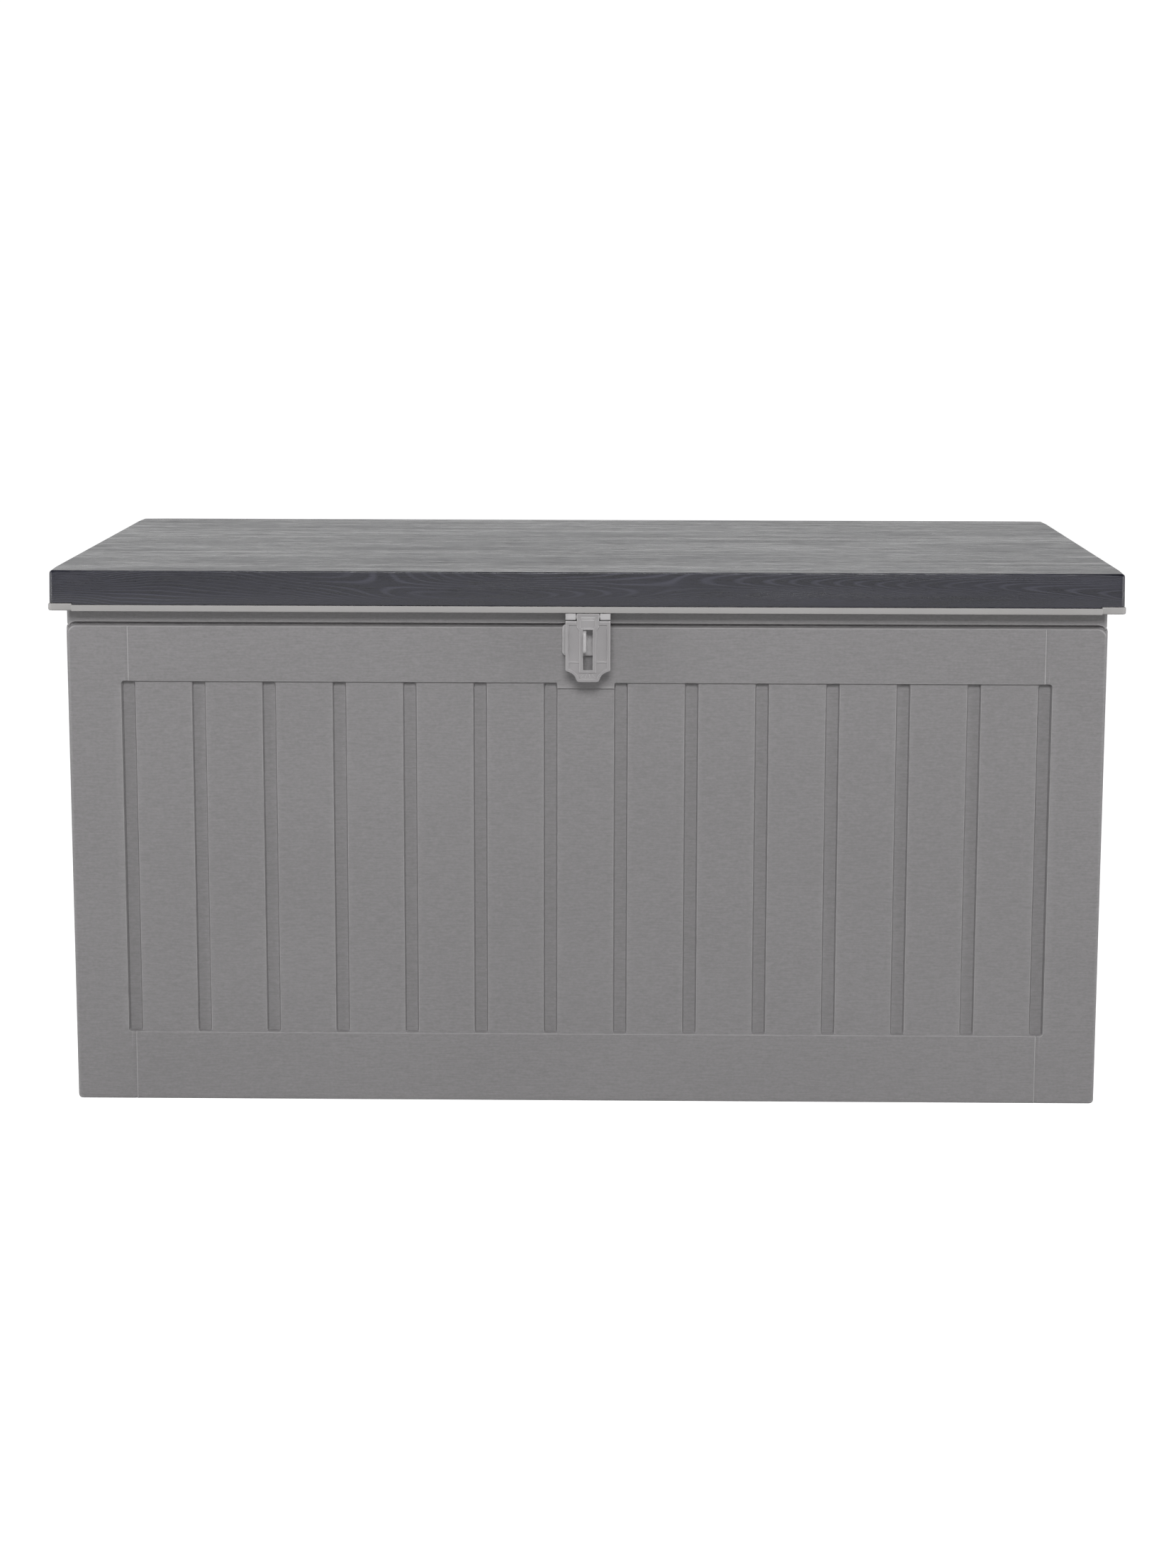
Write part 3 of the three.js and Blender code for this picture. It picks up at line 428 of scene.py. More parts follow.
def add_turned(shape, profile, sides, axis="X", centre=(0, 0, 0)):
    """A ring or bar turned about an axis through centre. The profile is (radius, along) points: closed on
    itself if it stays off the axis, or running from the axis back to the axis."""
    on_axis = profile[0][0] == 0
    rings = profile[1:-1] if on_axis else profile

    def place(radius, along, angle):
        p, q = radius * math.cos(angle), radius * math.sin(angle)
        local = {"X": (along, p, q), "Y": (q, along, p), "Z": (p, q, along)}[axis]
        return Vector(local) + Vector(centre)

    points = [place(r, t, angle) for r, t in rings for angle in full_turn(sides)]
    faces = faces_between(len(rings), sides, closed=not on_axis)
    if on_axis:
        first, last = len(points), len(points) + 1
        points += [place(0, profile[0][1], 0), place(0, profile[-1][1], 0)]
        end = (len(rings) - 1) * sides
        for s in range(sides):
            n = (s + 1) % sides
            faces.append((first, n, s))
            faces.append((last, end + s, end + n))
    return shape.add(points, faces)


def shape_mesh(name, shape):
    """A mesh in metres from a shape in millimetres."""
    mesh = bpy.data.meshes.new(name)
    mesh.from_pydata([tuple(MM * c for c in p) for p in shape.points], [], shape.faces)
    return mesh


def add_object(name, data):
    thing = bpy.data.objects.new(name, data)
    bpy.context.collection.objects.link(thing)
    return thing


def make_piece(name, shape, body, slot, nodes, sharp=38.0):
    """Adds the object made from a shape, riding on its body and standing for its CAD nodes. Edges that turn
    by more than sharp degrees are shaded sharp."""
    mesh = shape_mesh(name, shape)
    bm = bmesh.new()
    bm.from_mesh(mesh)
    bmesh.ops.recalc_face_normals(bm, faces=bm.faces)
    bm.to_mesh(mesh)
    bm.free()
    mesh.shade_smooth()
    mesh.set_sharp_from_angle(angle=math.radians(sharp))
    mesh.materials.append(MATERIALS[slot])
    piece = add_object(name, mesh)
    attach(piece, body)
    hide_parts(*nodes)


# ---------- moulded relief ----------
def ramp(distance, softness):
    """1 well inside a shape, 0 well outside, with a round-shouldered step between."""
    return 0.5 - 0.5 * np.sin(np.clip(distance / softness, -1.0, 1.0) * math.pi / 2)


def box_distance(u, v, low_u, high_u, low_v, high_v, corner):
    """Signed distance to a rectangle with rounded corners, negative inside."""
    du = np.abs(u - (low_u + high_u) / 2) - (high_u - low_u) / 2 + corner
    dv = np.abs(v - (low_v + high_v) / 2) - (high_v - low_v) / 2 + corner
    outside = np.hypot(np.maximum(du, 0), np.maximum(dv, 0))
    return outside + np.minimum(np.maximum(du, dv), 0) - corner


def grid_lines(start, stop, steps, extra=(), coarse=30.0, finest=0.15):
    """Mesh lines from start to stop: a few across each (place, half width) step, the extra ones, and enough
    between them that no cell is wider than coarse."""
    wanted = [start, stop, *extra]
    wanted += [place + k * soft for place, soft in steps for k in EDGE_LINES]
    inside = sorted(x for x in wanted if start <= x <= stop)
    kept = [start]
    for x in inside:
        if x - kept[-1] >= finest:
            kept.append(x)
    if stop - kept[-1] > 0:
        kept[-1 if stop - kept[-1] < finest else len(kept):] = [stop]
    lines = []
    for a, b in zip(kept, kept[1:]):
        parts = max(1, math.ceil((b - a) / coarse))
        lines += [a + (b - a) * k / parts for k in range(parts)]
    return np.array(lines + [stop])


def groove_centres(count, pitch):
    return [(k - (count - 1) / 2) * pitch for k in range(count)]


def wall_relief(u, z, grooves, pitch, corner_u, middle_drop, grip, grow):
    """How deep a wall's face lies at each place. With grow, the same relief with every recess that much
    wider, which is the wall's inner side."""
    centres = groove_centres(grooves, pitch)
    side = GROOVE_WIDTH / 2
    end = centres[-1] + side
    field = ramp(box_distance(u, z, -end, end, FIELD_BOTTOM, FIELD_TOP, GROOVE_CORNER) - grow, EDGE_SOFT)
    if middle_drop:
        half = (pitch - GROOVE_WIDTH) / 2
        low, high = FIELD_TOP - MIDDLE_DROP, FIELD_TOP + MIDDLE_RISE
        reach = box_distance(u, z, -half, half, low, high, MIDDLE_CORNER)
        field = field * (1 - ramp(reach + grow, EDGE_SOFT))
    depth = BOARD_DROP * field
    for x in centres:
        reach = box_distance(u, z, x - side, x + side, FIELD_BOTTOM, FIELD_TOP, GROOVE_CORNER)
        depth = depth + GROOVE_DEPTH * ramp(reach - grow, GROOVE_SOFT)
    # the level groove lies just outside the frame's face, which has rounded top corners
    folded = np.minimum(np.abs(u), 2 * corner_u - np.abs(u))
    across = np.maximum(folded - (corner_u - LINE_CORNER), 0)
    up = z - (LINE_BOTTOM - LINE_CORNER)
    rim = np.where(up > 0, np.hypot(across, np.maximum(up, 0)), across) - LINE_CORNER
    rim = np.where(across > 0, rim, up - LINE_CORNER)
    line = ramp(np.abs(rim - LINE_HEIGHT / 2) - LINE_HEIGHT / 2 + LINE_SHOULDER - grow, LINE_SOFT)
    running_out = np.clip((corner_u - folded) / LINE_CORNER, 0, 1)
    depth = depth + LINE_DEPTH * line * (LINE_END + (1 - LINE_END) * running_out)
    depth = depth + BAND_SETBACK * (1 - ramp(rim - LINE_HEIGHT / 2, LINE_SOFT))
    if grip:
        reach = box_distance(u, z, -GRIP_HALF, GRIP_HALF, GRIP_BOTTOM, GRIP_TOP, GRIP_CORNER)
        depth = depth + GRIP_DEPTH * ramp(reach - grow, GRIP_SOFT)
    if not grow:
        # the butt joint of rail and stile: a fine raised line, then a step that fades out over the stile
        past = np.abs(u) - (end - JOINT_INSET)
        notch = np.where(past > 0, 1 - past / JOINT_WIDTH, 1 + past / JOINT_SOFT)
        on_rail = (1 - field) * ramp(rim + BEAD_STOP, EDGE_SOFT)
        bead = 1 - np.abs(past + BEAD_OFFSET) / BEAD_HALF
        depth = depth + (JOINT_DEPTH * np.clip(notch, 0, 1) - BEAD_RISE * np.clip(bead, 0, 1)) * on_rail
        foot = np.clip(FOOT_ROUND - z, 0, FOOT_ROUND)
        depth = depth + FOOT_SHARE * (FOOT_ROUND - np.sqrt(FOOT_ROUND**2 - foot**2))
        shoulder = np.clip(z - (BODY_TOP - TOP_ROUND), 0, TOP_ROUND)
        depth = depth + TOP_ROUND - np.sqrt(TOP_ROUND**2 - shoulder**2)
    return depth


def straight_path(u):
    """Points and inward normals of an end wall's face, seen from above with y growing inwards."""
    zero = np.zeros_like(u)
    return u, zero, zero, zero + 1


def corner_path(u):
    """The same for a long wall, whose ends turn round the box's corners."""
    flat = BODY_HALF_X - BODY_CORNER
    past = np.abs(u) - flat
    angle = np.clip(past / BODY_CORNER, 0, math.pi / 2)
    leg = np.maximum(past - BODY_CORNER * math.pi / 2, 0)
    x = np.minimum(np.abs(u), flat) + BODY_CORNER * np.sin(angle)
    y = BODY_CORNER * (1 - np.cos(angle)) + leg
    return np.sign(u) * x, y, -np.sign(u) * np.sin(angle), np.cos(angle)


WALL_PLACES = {
    "front_panel": Matrix.Translation((0, FRONT_Y, 0)),
    "back_panel": Matrix.Translation((0, BACK_Y, 0)) @ Matrix.Rotation(math.pi, 4, "Z"),
    "right_panel": Matrix.Translation((BODY_HALF_X, 0, 0)) @ Matrix.Rotation(math.pi / 2, 4, "Z"),
    "left_panel": Matrix.Translation((-BODY_HALF_X, 0, 0)) @ Matrix.Rotation(-math.pi / 2, 4, "Z"),
}


def wall_rows(grip):
    """The mesh lines up a wall."""
    steps = [(FIELD_BOTTOM, GROOVE_SOFT), (FIELD_TOP, GROOVE_SOFT), (FIELD_TOP - MIDDLE_DROP, EDGE_SOFT)]
    steps += [(LINE_BOTTOM + k, LINE_SOFT) for k in (LINE_SHOULDER, LINE_HEIGHT - LINE_SHOULDER)]
    extra = [FOOT_ROUND * k for k in FOOT_LINES]
    extra += [BODY_TOP - TOP_ROUND * k for k in TOP_LINES]
    extra += [FIELD_BOTTOM + k for k in GROOVE_END_LINES]
    extra += [LINE_BOTTOM - LINE_STEP * (k + 1) for k in range(math.ceil(LINE_CORNER / LINE_STEP))]
    if grip:
        steps += [(GRIP_BOTTOM, GRIP_SOFT), (GRIP_TOP, GRIP_SOFT)]
        extra += [z + s * k for z, s in ((GRIP_BOTTOM, 1), (GRIP_TOP, -1)) for k in GRIP_LINES]
    return grid_lines(0.0, BODY_TOP, steps, extra, coarse=40.0)


def build_wall(node, long_wall):
    grooves, pitch = (LONG_GROOVES, LONG_PITCH) if long_wall else (SIDE_GROOVES, SIDE_PITCH)
    centres = groove_centres(grooves, pitch)
    end = centres[-1] + GROOVE_WIDTH / 2
    steps = [(x + s * GROOVE_WIDTH / 2, GROOVE_SOFT) for x in centres for s in (-1, 1)]
    joint = end - JOINT_INSET
    extra = [s * (joint + k) for s in (-1, 1) for k in JOINT_LINES]
    if long_wall:
        arc = BODY_CORNER * math.pi / 2
        stop = BODY_HALF_X - BODY_CORNER + arc + CORNER_RETURN - BODY_CORNER
        corner_u = BODY_HALF_X - BODY_CORNER + arc / 2
        turn_lines = [CORNER_STEP * k for k in range(-CORNER_STEPS_EACH_WAY, CORNER_STEPS_EACH_WAY + 1)]
        extra += [s * (corner_u + k) for s in (-1, 1) for k in turn_lines]
    else:
        stop = SIDE_HALF
        corner_u = stop + CORNER_RETURN
        steps += [(s * GRIP_HALF, GRIP_SOFT) for s in (-1, 1)]
        extra += [s * (GRIP_HALF - k) for s in (-1, 1) for k in GRIP_LINES]
    extra += [s * (stop - k) for s in (-1, 1) for k in FREE_EDGE_LINES]
    u = grid_lines(-stop, stop, steps, extra)[:, None]
    z = wall_rows(not long_wall)[None, :]
    features = (u, z, grooves, pitch, corner_u, node == "front_panel", not long_wall)
    x, y, nx, ny = (corner_path if long_wall else straight_path)(u)

    def surface(depth):
        return on_grid(x + nx * depth, y + ny * depth, z)

    outer = surface(wall_relief(*features, grow=0.0))
    inner = surface(WALL + wall_relief(*features, grow=WALL))
    shape = add_double_surface(Shape(), outer, inner)
    add_wall_fittings(shape, node, long_wall)
    make_piece(f"{node}_moulding", shape.moved(WALL_PLACES[node]), "body", "wall_grey", [node])


# ---------- inner flanges, ledges, bosses and tabs of the walls ----------
SUNK = 1.2  # how far an added rib is set into its wall
FLANGE_DEPTH = 16.0
LEDGE_LOW, LEDGE_HIGH, LEDGE_DEPTH = 12.0, 18.0, 22.0
LONG_LEDGE_HALF, SIDE_LEDGE_HALF = 540.0, 240.0
BOSS_HEIGHTS = (140.0, 450.0)
BOSS_INSET, BOSS_HALF, BOSS_DEPTH = 23.3, 14.0, 8.0
BACKING_DEPTH = 10.0  # of the thick places behind the staple and the hinges
STAPLE_BACKING = ((-25.5, 516.5), (23.5, 540.5))
HINGE_BACKING = ((-38.0, 513.0), (38.0, 537.0))
TAB_LOW, TAB_HIGH = 30.0, 530.0
TAB_FOOT, TAB_OVERLAP, TAB_TURN_IN = 18.0, 8.0, 38.0
CLEAR = 0.2  # keeps blocks that meet from sharing a corner


def add_wall_fittings(shape, node, long_wall):
    """Written in the wall's own place, with y growing inwards."""
    start = WALL - SUNK
    half = BODY_HALF_X - WALL if long_wall else SIDE_HALF
    ledge = LONG_LEDGE_HALF if long_wall else SIDE_LEDGE_HALF
    add_block(shape, (-half, TOP_ROUND, BODY_TOP - WALL), (half, FLANGE_DEPTH, BODY_TOP - 0.05), 1.0)
    add_block(shape, (-ledge, start, LEDGE_LOW), (ledge, WALL + LEDGE_DEPTH, LEDGE_HIGH), 1.0)

    def add_backing(x, outline):
        (x0, z0), (x1, z1) = outline
        add_block(shape, (x + x0, start, z0), (x + x1, WALL + BACKING_DEPTH, z1), 1.5)

    for side in (-1, 1):
        if long_wall:
            x = side * (BODY_HALF_X - BOSS_INSET)
            for z in BOSS_HEIGHTS:
                low = (x - BOSS_HALF, start, z - BOSS_HALF)
                add_block(shape, low, (x + BOSS_HALF, WALL + BOSS_DEPTH, z + BOSS_HALF), 2.0)
        else:
            add_tab(shape, side)
    if node == "front_panel":
        add_backing(0.0, STAPLE_BACKING)
    if node == "back_panel":
        add_backing(-HINGE_X, HINGE_BACKING)
        add_backing(HINGE_X, HINGE_BACKING)


def add_tab(shape, side):
    """An end wall's tab: it steps in behind the long wall's leg and turns in along that wall."""
    end = -FRONT_Y - WALL - BOSS_DEPTH - PANEL_GAP
    out = WALL + 2 * PANEL_GAP
    for (u0, u1), depth, clear in (
        ((SIDE_HALF - TAB_FOOT, SIDE_HALF - CLEAR), (WALL - SUNK, out + WALL), 0.0),
        ((SIDE_HALF - TAB_OVERLAP, end), (out, out + WALL - CLEAR), CLEAR),
        ((end - WALL, end - CLEAR), (out + CLEAR, TAB_TURN_IN), 2 * CLEAR),
    ):
        low, high = sorted((side * u0, side * u1))
        add_block(shape, (low, depth[0], TAB_LOW + clear), (high, depth[1], TAB_HIGH - clear), 1.0)


for wall in WALL_PLACES:
    build_wall(wall, wall in ("front_panel", "back_panel"))


# ---------- floor tray ----------
TRAY = 4.0  # thickness
CHANNEL_PITCH, CHANNEL_HALF, CHANNEL_DEPTH, CHANNEL_CORNER = 104.0, 5.0, 1.2, 4.0
CHANNEL_SOFT = 1.2
CHANNELS = 11
TRAY_MARGIN = 30.0  # level, outside the channels
RIB_HALF, RIB_ROUND = 2.0, 0.6
CROSS_RIBS, CROSS_RIB_REACH, CROSS_RIB_END = 11, 540, 259
LONG_RIBS, LONG_RIB_REACH, LONG_RIB_END = 7, 258, 541
LONG_RIB_FOOT = 0.05
HUB_HALF, HUB_ROUND = 20, 0.8


def build_tray():
    low, high = node_box("base_panel")
    bottom, top = low[1] + TRAY_MARGIN, high[1] - TRAY_MARGIN
    channels = groove_centres(CHANNELS, CHANNEL_PITCH)
    steps_x = [(c + s * CHANNEL_HALF, CHANNEL_SOFT) for c in channels for s in (-1, 1)]
    steps_y = [(bottom, CHANNEL_SOFT), (top, CHANNEL_SOFT)]
    x = grid_lines(low[0], high[0], steps_x, [low[0] + 1, high[0] - 1], coarse=60.0)[:, None]
    y = grid_lines(low[1], high[1], steps_y, [low[1] + 1, high[1] - 1], coarse=60.0)[None, :]
    relief = 0.0
    for c in channels:
        reach = box_distance(x, y, c - CHANNEL_HALF, c + CHANNEL_HALF, bottom, top, CHANNEL_CORNER)
        relief = relief + CHANNEL_DEPTH * ramp(reach, CHANNEL_SOFT)
    shape = add_double_surface(Shape(), on_grid(x, y, high[2] - relief), on_grid(x, y, high[2] - TRAY))
    rib_top = high[2] - TRAY + 1
    for x in np.linspace(-CROSS_RIB_REACH, CROSS_RIB_REACH, CROSS_RIBS):
        ends = (x - RIB_HALF, -CROSS_RIB_END, 0), (x + RIB_HALF, CROSS_RIB_END, rib_top)
        add_block(shape, *ends, RIB_ROUND)
    for y in np.linspace(-LONG_RIB_REACH, LONG_RIB_REACH, LONG_RIBS):
        ends = (-LONG_RIB_END, y - RIB_HALF, LONG_RIB_FOOT), (LONG_RIB_END, y + RIB_HALF, rib_top)
        add_block(shape, *ends, RIB_ROUND)
    add_block(shape, (-HUB_HALF, -HUB_HALF, 0), (HUB_HALF, HUB_HALF, rib_top), HUB_ROUND)
    make_piece("floor_moulding", shape, "body", "wall_grey", ["base_panel"])


build_tray()


# ---------- lid ----------
liner_low, liner_high = node_box("lid_liner")
cover_low, cover_high = node_box("lid_cover")
STRIP_BOTTOM = liner_low[2]
STRIP_TOP = STRIP_BOTTOM + 7.0
LID_CORNER = 6.0
SKIRT_INSET = 1.6  # of the cover, from the strip's face
PAD_LENGTH = 27.0  # of the short raised pads at the strip's corners
PAD_RISE = 1.6
PAD_LIFT = 0.6
PAD_SETBACK = 0.4
PAD_CLEAR = 0.6  # the cover's notch is this much longer than the pad
CORNER_STEPS = 10
NEAR_LINES = (5.0, 10.0, 14.0, 34.0, 60.0)  # stations beside a corner, by distance
PAD_END_STEP = 0.25
SIDE_STEPS = 12
SIDE_MARGIN = 70.0  # the evenly spaced stations keep this far from the corners


def lid_stations(half_x, half_y, pad_end):
    """Stations round a rectangle with rounded corners: point, outward normal, and distance along the sides
    from the nearest corner. They run anticlockwise seen from above, with two close together at pad_end."""
    stations = []
    near = [*NEAR_LINES, pad_end - PAD_END_STEP, pad_end + PAD_END_STEP]
    for quarter in range(4):
        turn = quarter * math.pi / 2
        sign_x = 1 if quarter in (0, 3) else -1
        sign_y = 1 if quarter in (0, 1) else -1
        centre = (sign_x * (half_x - LID_CORNER), sign_y * (half_y - LID_CORNER))
        for k in range(CORNER_STEPS + 1):
            angle = turn + math.pi / 2 * k / CORNER_STEPS
            normal = (math.cos(angle), math.sin(angle))
            point = (centre[0] + LID_CORNER * normal[0], centre[1] + LID_CORNER * normal[1])
            stations.append((point, normal, 0.0))
        side = 2 * ((half_x if quarter in (0, 2) else half_y) - LID_CORNER)
        along = (-normal[1], normal[0])
        even = [side * k / SIDE_STEPS for k in range(1, SIDE_STEPS)]
        even = [m for m in even if SIDE_MARGIN < m < side - SIDE_MARGIN]
        for distance in sorted({*near, *(side - d for d in near), *even}):
            place = (point[0] + along[0] * distance, point[1] + along[1] * distance)
            stations.append((place, normal, min(distance, side - distance)))
    return stations


def add_ring(shape, stations, profile, capped):
    """Sweeps profile(distance from corner), a list of (inset, z), round the stations. With capped, the first
    and last points' rings are closed by flat faces; otherwise the profile closes on itself."""
    size = len(profile(0.0))
    points = []
    for (x, y), (nx, ny), distance in stations:
        points += [(x - nx * inset, y - ny * inset, z) for inset, z in profile(distance)]
    faces = []
    count = len(stations)
    spans = size - 1 if capped else size
    for s in range(count):
        here, there = s * size, (s + 1) % count * size
        for k in range(spans):
            n = (k + 1) % size
            faces.append((here + k, there + k, there + n, here + n))
    if capped:
        faces.append([s * size for s in range(count)])
        faces.append([s * size + size - 1 for s in reversed(range(count))])
    return shape.add(points, faces)


def arc(centre, radius, start, stop, steps):
    """Points of an arc in the (inset, z) plane, angles in degrees from +inset towards +z."""
    angles = np.radians(np.linspace(start, stop, steps + 1))
    return [(centre[0] + radius * math.cos(a), centre[1] + radius * math.sin(a)) for a in angles]


def blend_to_corner(distance, at_corner, along_side, reach=34.0):
    t = min(max(distance / reach, 0.0), 1.0)
    return at_corner + (along_side - at_corner) * t * t * (3 - 2 * t)


COVER_SHELL = 3.0
COVER_TAPER = 0.7
COVER_EDGE_AT_CORNER, COVER_EDGE = 3.6, 1.4  # radius of the top edge
COVER_LAND = 6.0  # width of the top's inner face inside the skirt
COVER_ROOT = 2.0  # radius inside, where the skirt meets the top
SKIRT_LINE = 12.0  # a mesh line this far up the skirt
BOSS_OUTER, BOSS_BORE, BOSS_FOOT = 7.0, 1.8, 590.5
BOSS_PLACES = [(x, y) for x in (-440.0, 0.0, 440.0) for y in (-190.0, 190.0)]


def build_cover():
    pad_end = PAD_LENGTH - SKIRT_INSET - LID_CORNER + PAD_CLEAR
    top = cover_high[2]
    shell = COVER_SHELL

    def profile(distance):
        bottom = cover_low[2] + (PAD_RISE if distance < pad_end else 0.0)
        edge = blend_to_corner(distance, COVER_EDGE_AT_CORNER, COVER_EDGE)
        points = [(shell + COVER_LAND, top - shell)]
        points += arc((shell + COVER_ROOT, top - shell - COVER_ROOT), COVER_ROOT, 90, 180, 3)
        # down the skirt's inside, round its lower edge and up its face
        points += [(shell, bottom + 1.0), (shell - 0.3, bottom + 0.1), (shell - 1.0, bottom)]
        points += [(0.5, bottom), (0.15, bottom + 0.15), (0.0, bottom + 0.5)]
        points += [(COVER_TAPER * 0.3, bottom + SKIRT_LINE)]
        points += arc((COVER_TAPER + edge, top - edge), edge, 180, 90, 8)
        points += [(COVER_TAPER + edge + 1.5, top)]
        return points

    shape = Shape()
    reach_x, reach_y = liner_high[0] - SKIRT_INSET, liner_high[1] - SKIRT_INSET
    add_ring(shape, lid_stations(reach_x, reach_y, pad_end), profile, capped=True)
    boss_top = top - 2.0
    boss = [(BOSS_OUTER, BOSS_FOOT), (BOSS_OUTER, boss_top), (BOSS_BORE, boss_top), (BOSS_BORE, BOSS_FOOT)]
    for x, y in BOSS_PLACES:
        add_turned(shape, boss, 24, "Z", (x, y, 0))
    make_piece("lid_cover_moulding", shape, "lid", "lid_dark", ["lid_cover"])


STRIP_WIDTH = 9.0
STRIP_ROUND, PAD_ROUND = 0.7, 1.6
LINER = 3.5  # thickness of the tray inside the strip
LINER_LIFT = 0.05
DISH_INSET_X, DISH_INSET_Y = 52, 50
DISH_RISE, DISH_SOFT, DISH_CORNER = 24.0, 7.0, 34.0
DISH_LINES = (0.0, 4.0, 8.0, 13.0, 18.0, 24.0, 30.0, 36.0)  # mesh lines round the dish's corners
DISH_WIDENING = 3.0  # of the dish's upper side
LID_RIBS, LID_RIB_HALF, LID_RIB_DROP, LID_RIB_SOFT = 5, 13.0, 5.0, 4.0
LATCH_X = 2.45
SEAT_HALF, SEAT_NEAR, SEAT_FAR = 42, 2, 18  # thick places over the hinges and the latch
SEAT_CLEAR = 0.1


def build_liner():
    pad_end = PAD_LENGTH - LID_CORNER
    shape = Shape()

    def strip(distance):
        pad = distance < pad_end
        bottom = STRIP_BOTTOM + (PAD_LIFT if pad else 0.0)
        top = STRIP_TOP + (PAD_RISE if pad else 0.0)
        face = PAD_SETBACK if pad else 0.0
        soft = PAD_ROUND if pad else STRIP_ROUND
        points = arc((face + soft, bottom + soft), soft, 270, 180, 4)
        points += arc((face + soft, top - soft), soft, 180, 90, 4)
        return points + [(STRIP_WIDTH, top), (STRIP_WIDTH, bottom)]

    add_ring(shape, lid_stations(liner_high[0], liner_high[1], pad_end), strip, capped=False)
    # the tray inside the strip: a flange, then a dish raised into the lid with broad ribs across it
    reach_x, reach_y = liner_high[0] - STRIP_WIDTH + 1, liner_high[1] - STRIP_WIDTH + 1
    dish_x, dish_y = liner_high[0] - DISH_INSET_X, liner_high[1] - DISH_INSET_Y
    ribs = groove_centres(LID_RIBS, 2 * dish_x / LID_RIBS)

    def lines(reach, dish, steps):
        steps = [(s * dish, DISH_SOFT) for s in (-1, 1)] + steps
        return grid_lines(-reach, reach, steps, [s * (dish - k) for s in (-1, 1) for k in DISH_LINES], 40.0)

    rib_steps = [(r + s * LID_RIB_HALF, LID_RIB_SOFT) for r in ribs for s in (-1, 1)]
    x = lines(reach_x, dish_x, rib_steps)[:, None]
    y = lines(reach_y, dish_y, [])[None, :]

    def height(grow):
        dish = ramp(box_distance(x, y, -dish_x, dish_x, -dish_y, dish_y, DISH_CORNER) - grow, DISH_SOFT)
        rise = DISH_RISE * dish
        for rib in ribs:
            rise = rise - LID_RIB_DROP * ramp(np.abs(x - rib) - LID_RIB_HALF + grow, LID_RIB_SOFT) * dish
        return rise

    under = on_grid(x, y, STRIP_BOTTOM + LINER_LIFT + height(0.0))
    over = on_grid(x, y, STRIP_BOTTOM + LINER + height(DISH_WIDENING))
    add_double_surface(shape, over, under)
    for seat_x, side in ((-HINGE_X, 1), (HINGE_X, 1), (LATCH_X, -1)):
        low_y, high_y = sorted(side * (liner_high[1] - k) for k in (SEAT_NEAR, SEAT_FAR))
        low = (seat_x - SEAT_HALF, low_y, STRIP_BOTTOM + SEAT_CLEAR)
        add_block(shape, low, (seat_x + SEAT_HALF, high_y, STRIP_TOP - SEAT_CLEAR), 0.8)
    make_piece("lid_liner_moulding", shape, "lid", "liner_light", ["lid_liner"])


build_cover()
build_liner()


# ---------- hinges ----------
HINGE_Y, HINGE_Z = 303.0, 553.0
KNUCKLE, KNUCKLE_BORE, PIN, PIN_HEAD = 4.8, 2.45, 2.2, 3.4
FIXED_INNER, FIXED_OUTER, MOVING_OUTER = 12.4, 22.4, 11.9  # ends of the knuckles
STOP_FOOT = -12.9
PIN_ENDS = (-23.4, 22.7)
EASED = 0.4  # chamfer on the ends of turned pieces


def add_collar(shape, start, end, outline, bore, soft=EASED, sides=48):
    """A sleeve along X round a bore. outline gives its radius at each angle from +Y towards +Z."""
    points = []
    stations = ((start, None), (start, soft), (start + soft, 0), (end - soft, 0), (end, soft), (end, None))
    for x, inset in stations:
        for angle in full_turn(sides):
            radius = bore if inset is None else outline(angle) - inset
            points.append((x, radius * math.cos(angle), radius * math.sin(angle)))
    return shape.add(points, faces_between(len(stations), sides, closed=True))


def fixed_leaf(back):
    """The leaf on the back wall, written about the hinge's axis."""
    leaf = Shape()
    face = back + 3.0
    add_block(leaf, (-35, back, -40), (35, face, 4), 1.2)
    for sign in (-1, 1):
        inner, outer = sorted((sign * FIXED_INNER, sign * FIXED_OUTER))
        add_collar(leaf, inner, outer, lambda angle: KNUCKLE, KNUCKLE_BORE, sides=40)
        # the knuckle's arm, the stop lug under it, and a rib on the plate
        add_block(leaf, (inner, back + 1, STOP_FOOT), (outer, -KNUCKLE_BORE - CLEAR, 1.8), 0.5)
        add_block(leaf, (inner, back + 1, STOP_FOOT), (outer, 5.9, -7.1), 0.7)
        add_block(leaf, (sign * 33 - 1.2, face - 0.4, -38), (sign * 33 + 1.2, face + 1.0, -2), 0.5)
    return leaf


def moving_leaf():
    """The leaf under the lid, with one knuckle on a web."""
    leaf = Shape()
    add_block(leaf, (-38, -7.4, 5.75), (38, 5.4, 8.65), 0.8)
    add_collar(leaf, -MOVING_OUTER, MOVING_OUTER, lambda angle: KNUCKLE, KNUCKLE_BORE, sides=40)
    add_block(leaf, (-11.8, -4.7, 2.6), (11.8, 4.7, 6.6), 0.5)
    return leaf


def hinge_rod():
    start, end = PIN_ENDS
    profile = [(0, start), (PIN - EASED, start), (PIN, start + EASED), (PIN, end), (PIN_HEAD, end)]
    profile += [(PIN_HEAD, end + 1.1), (PIN_HEAD - 0.8, end + 1.9), (0, end + 2.0)]
    return add_turned(Shape(), profile, 32)


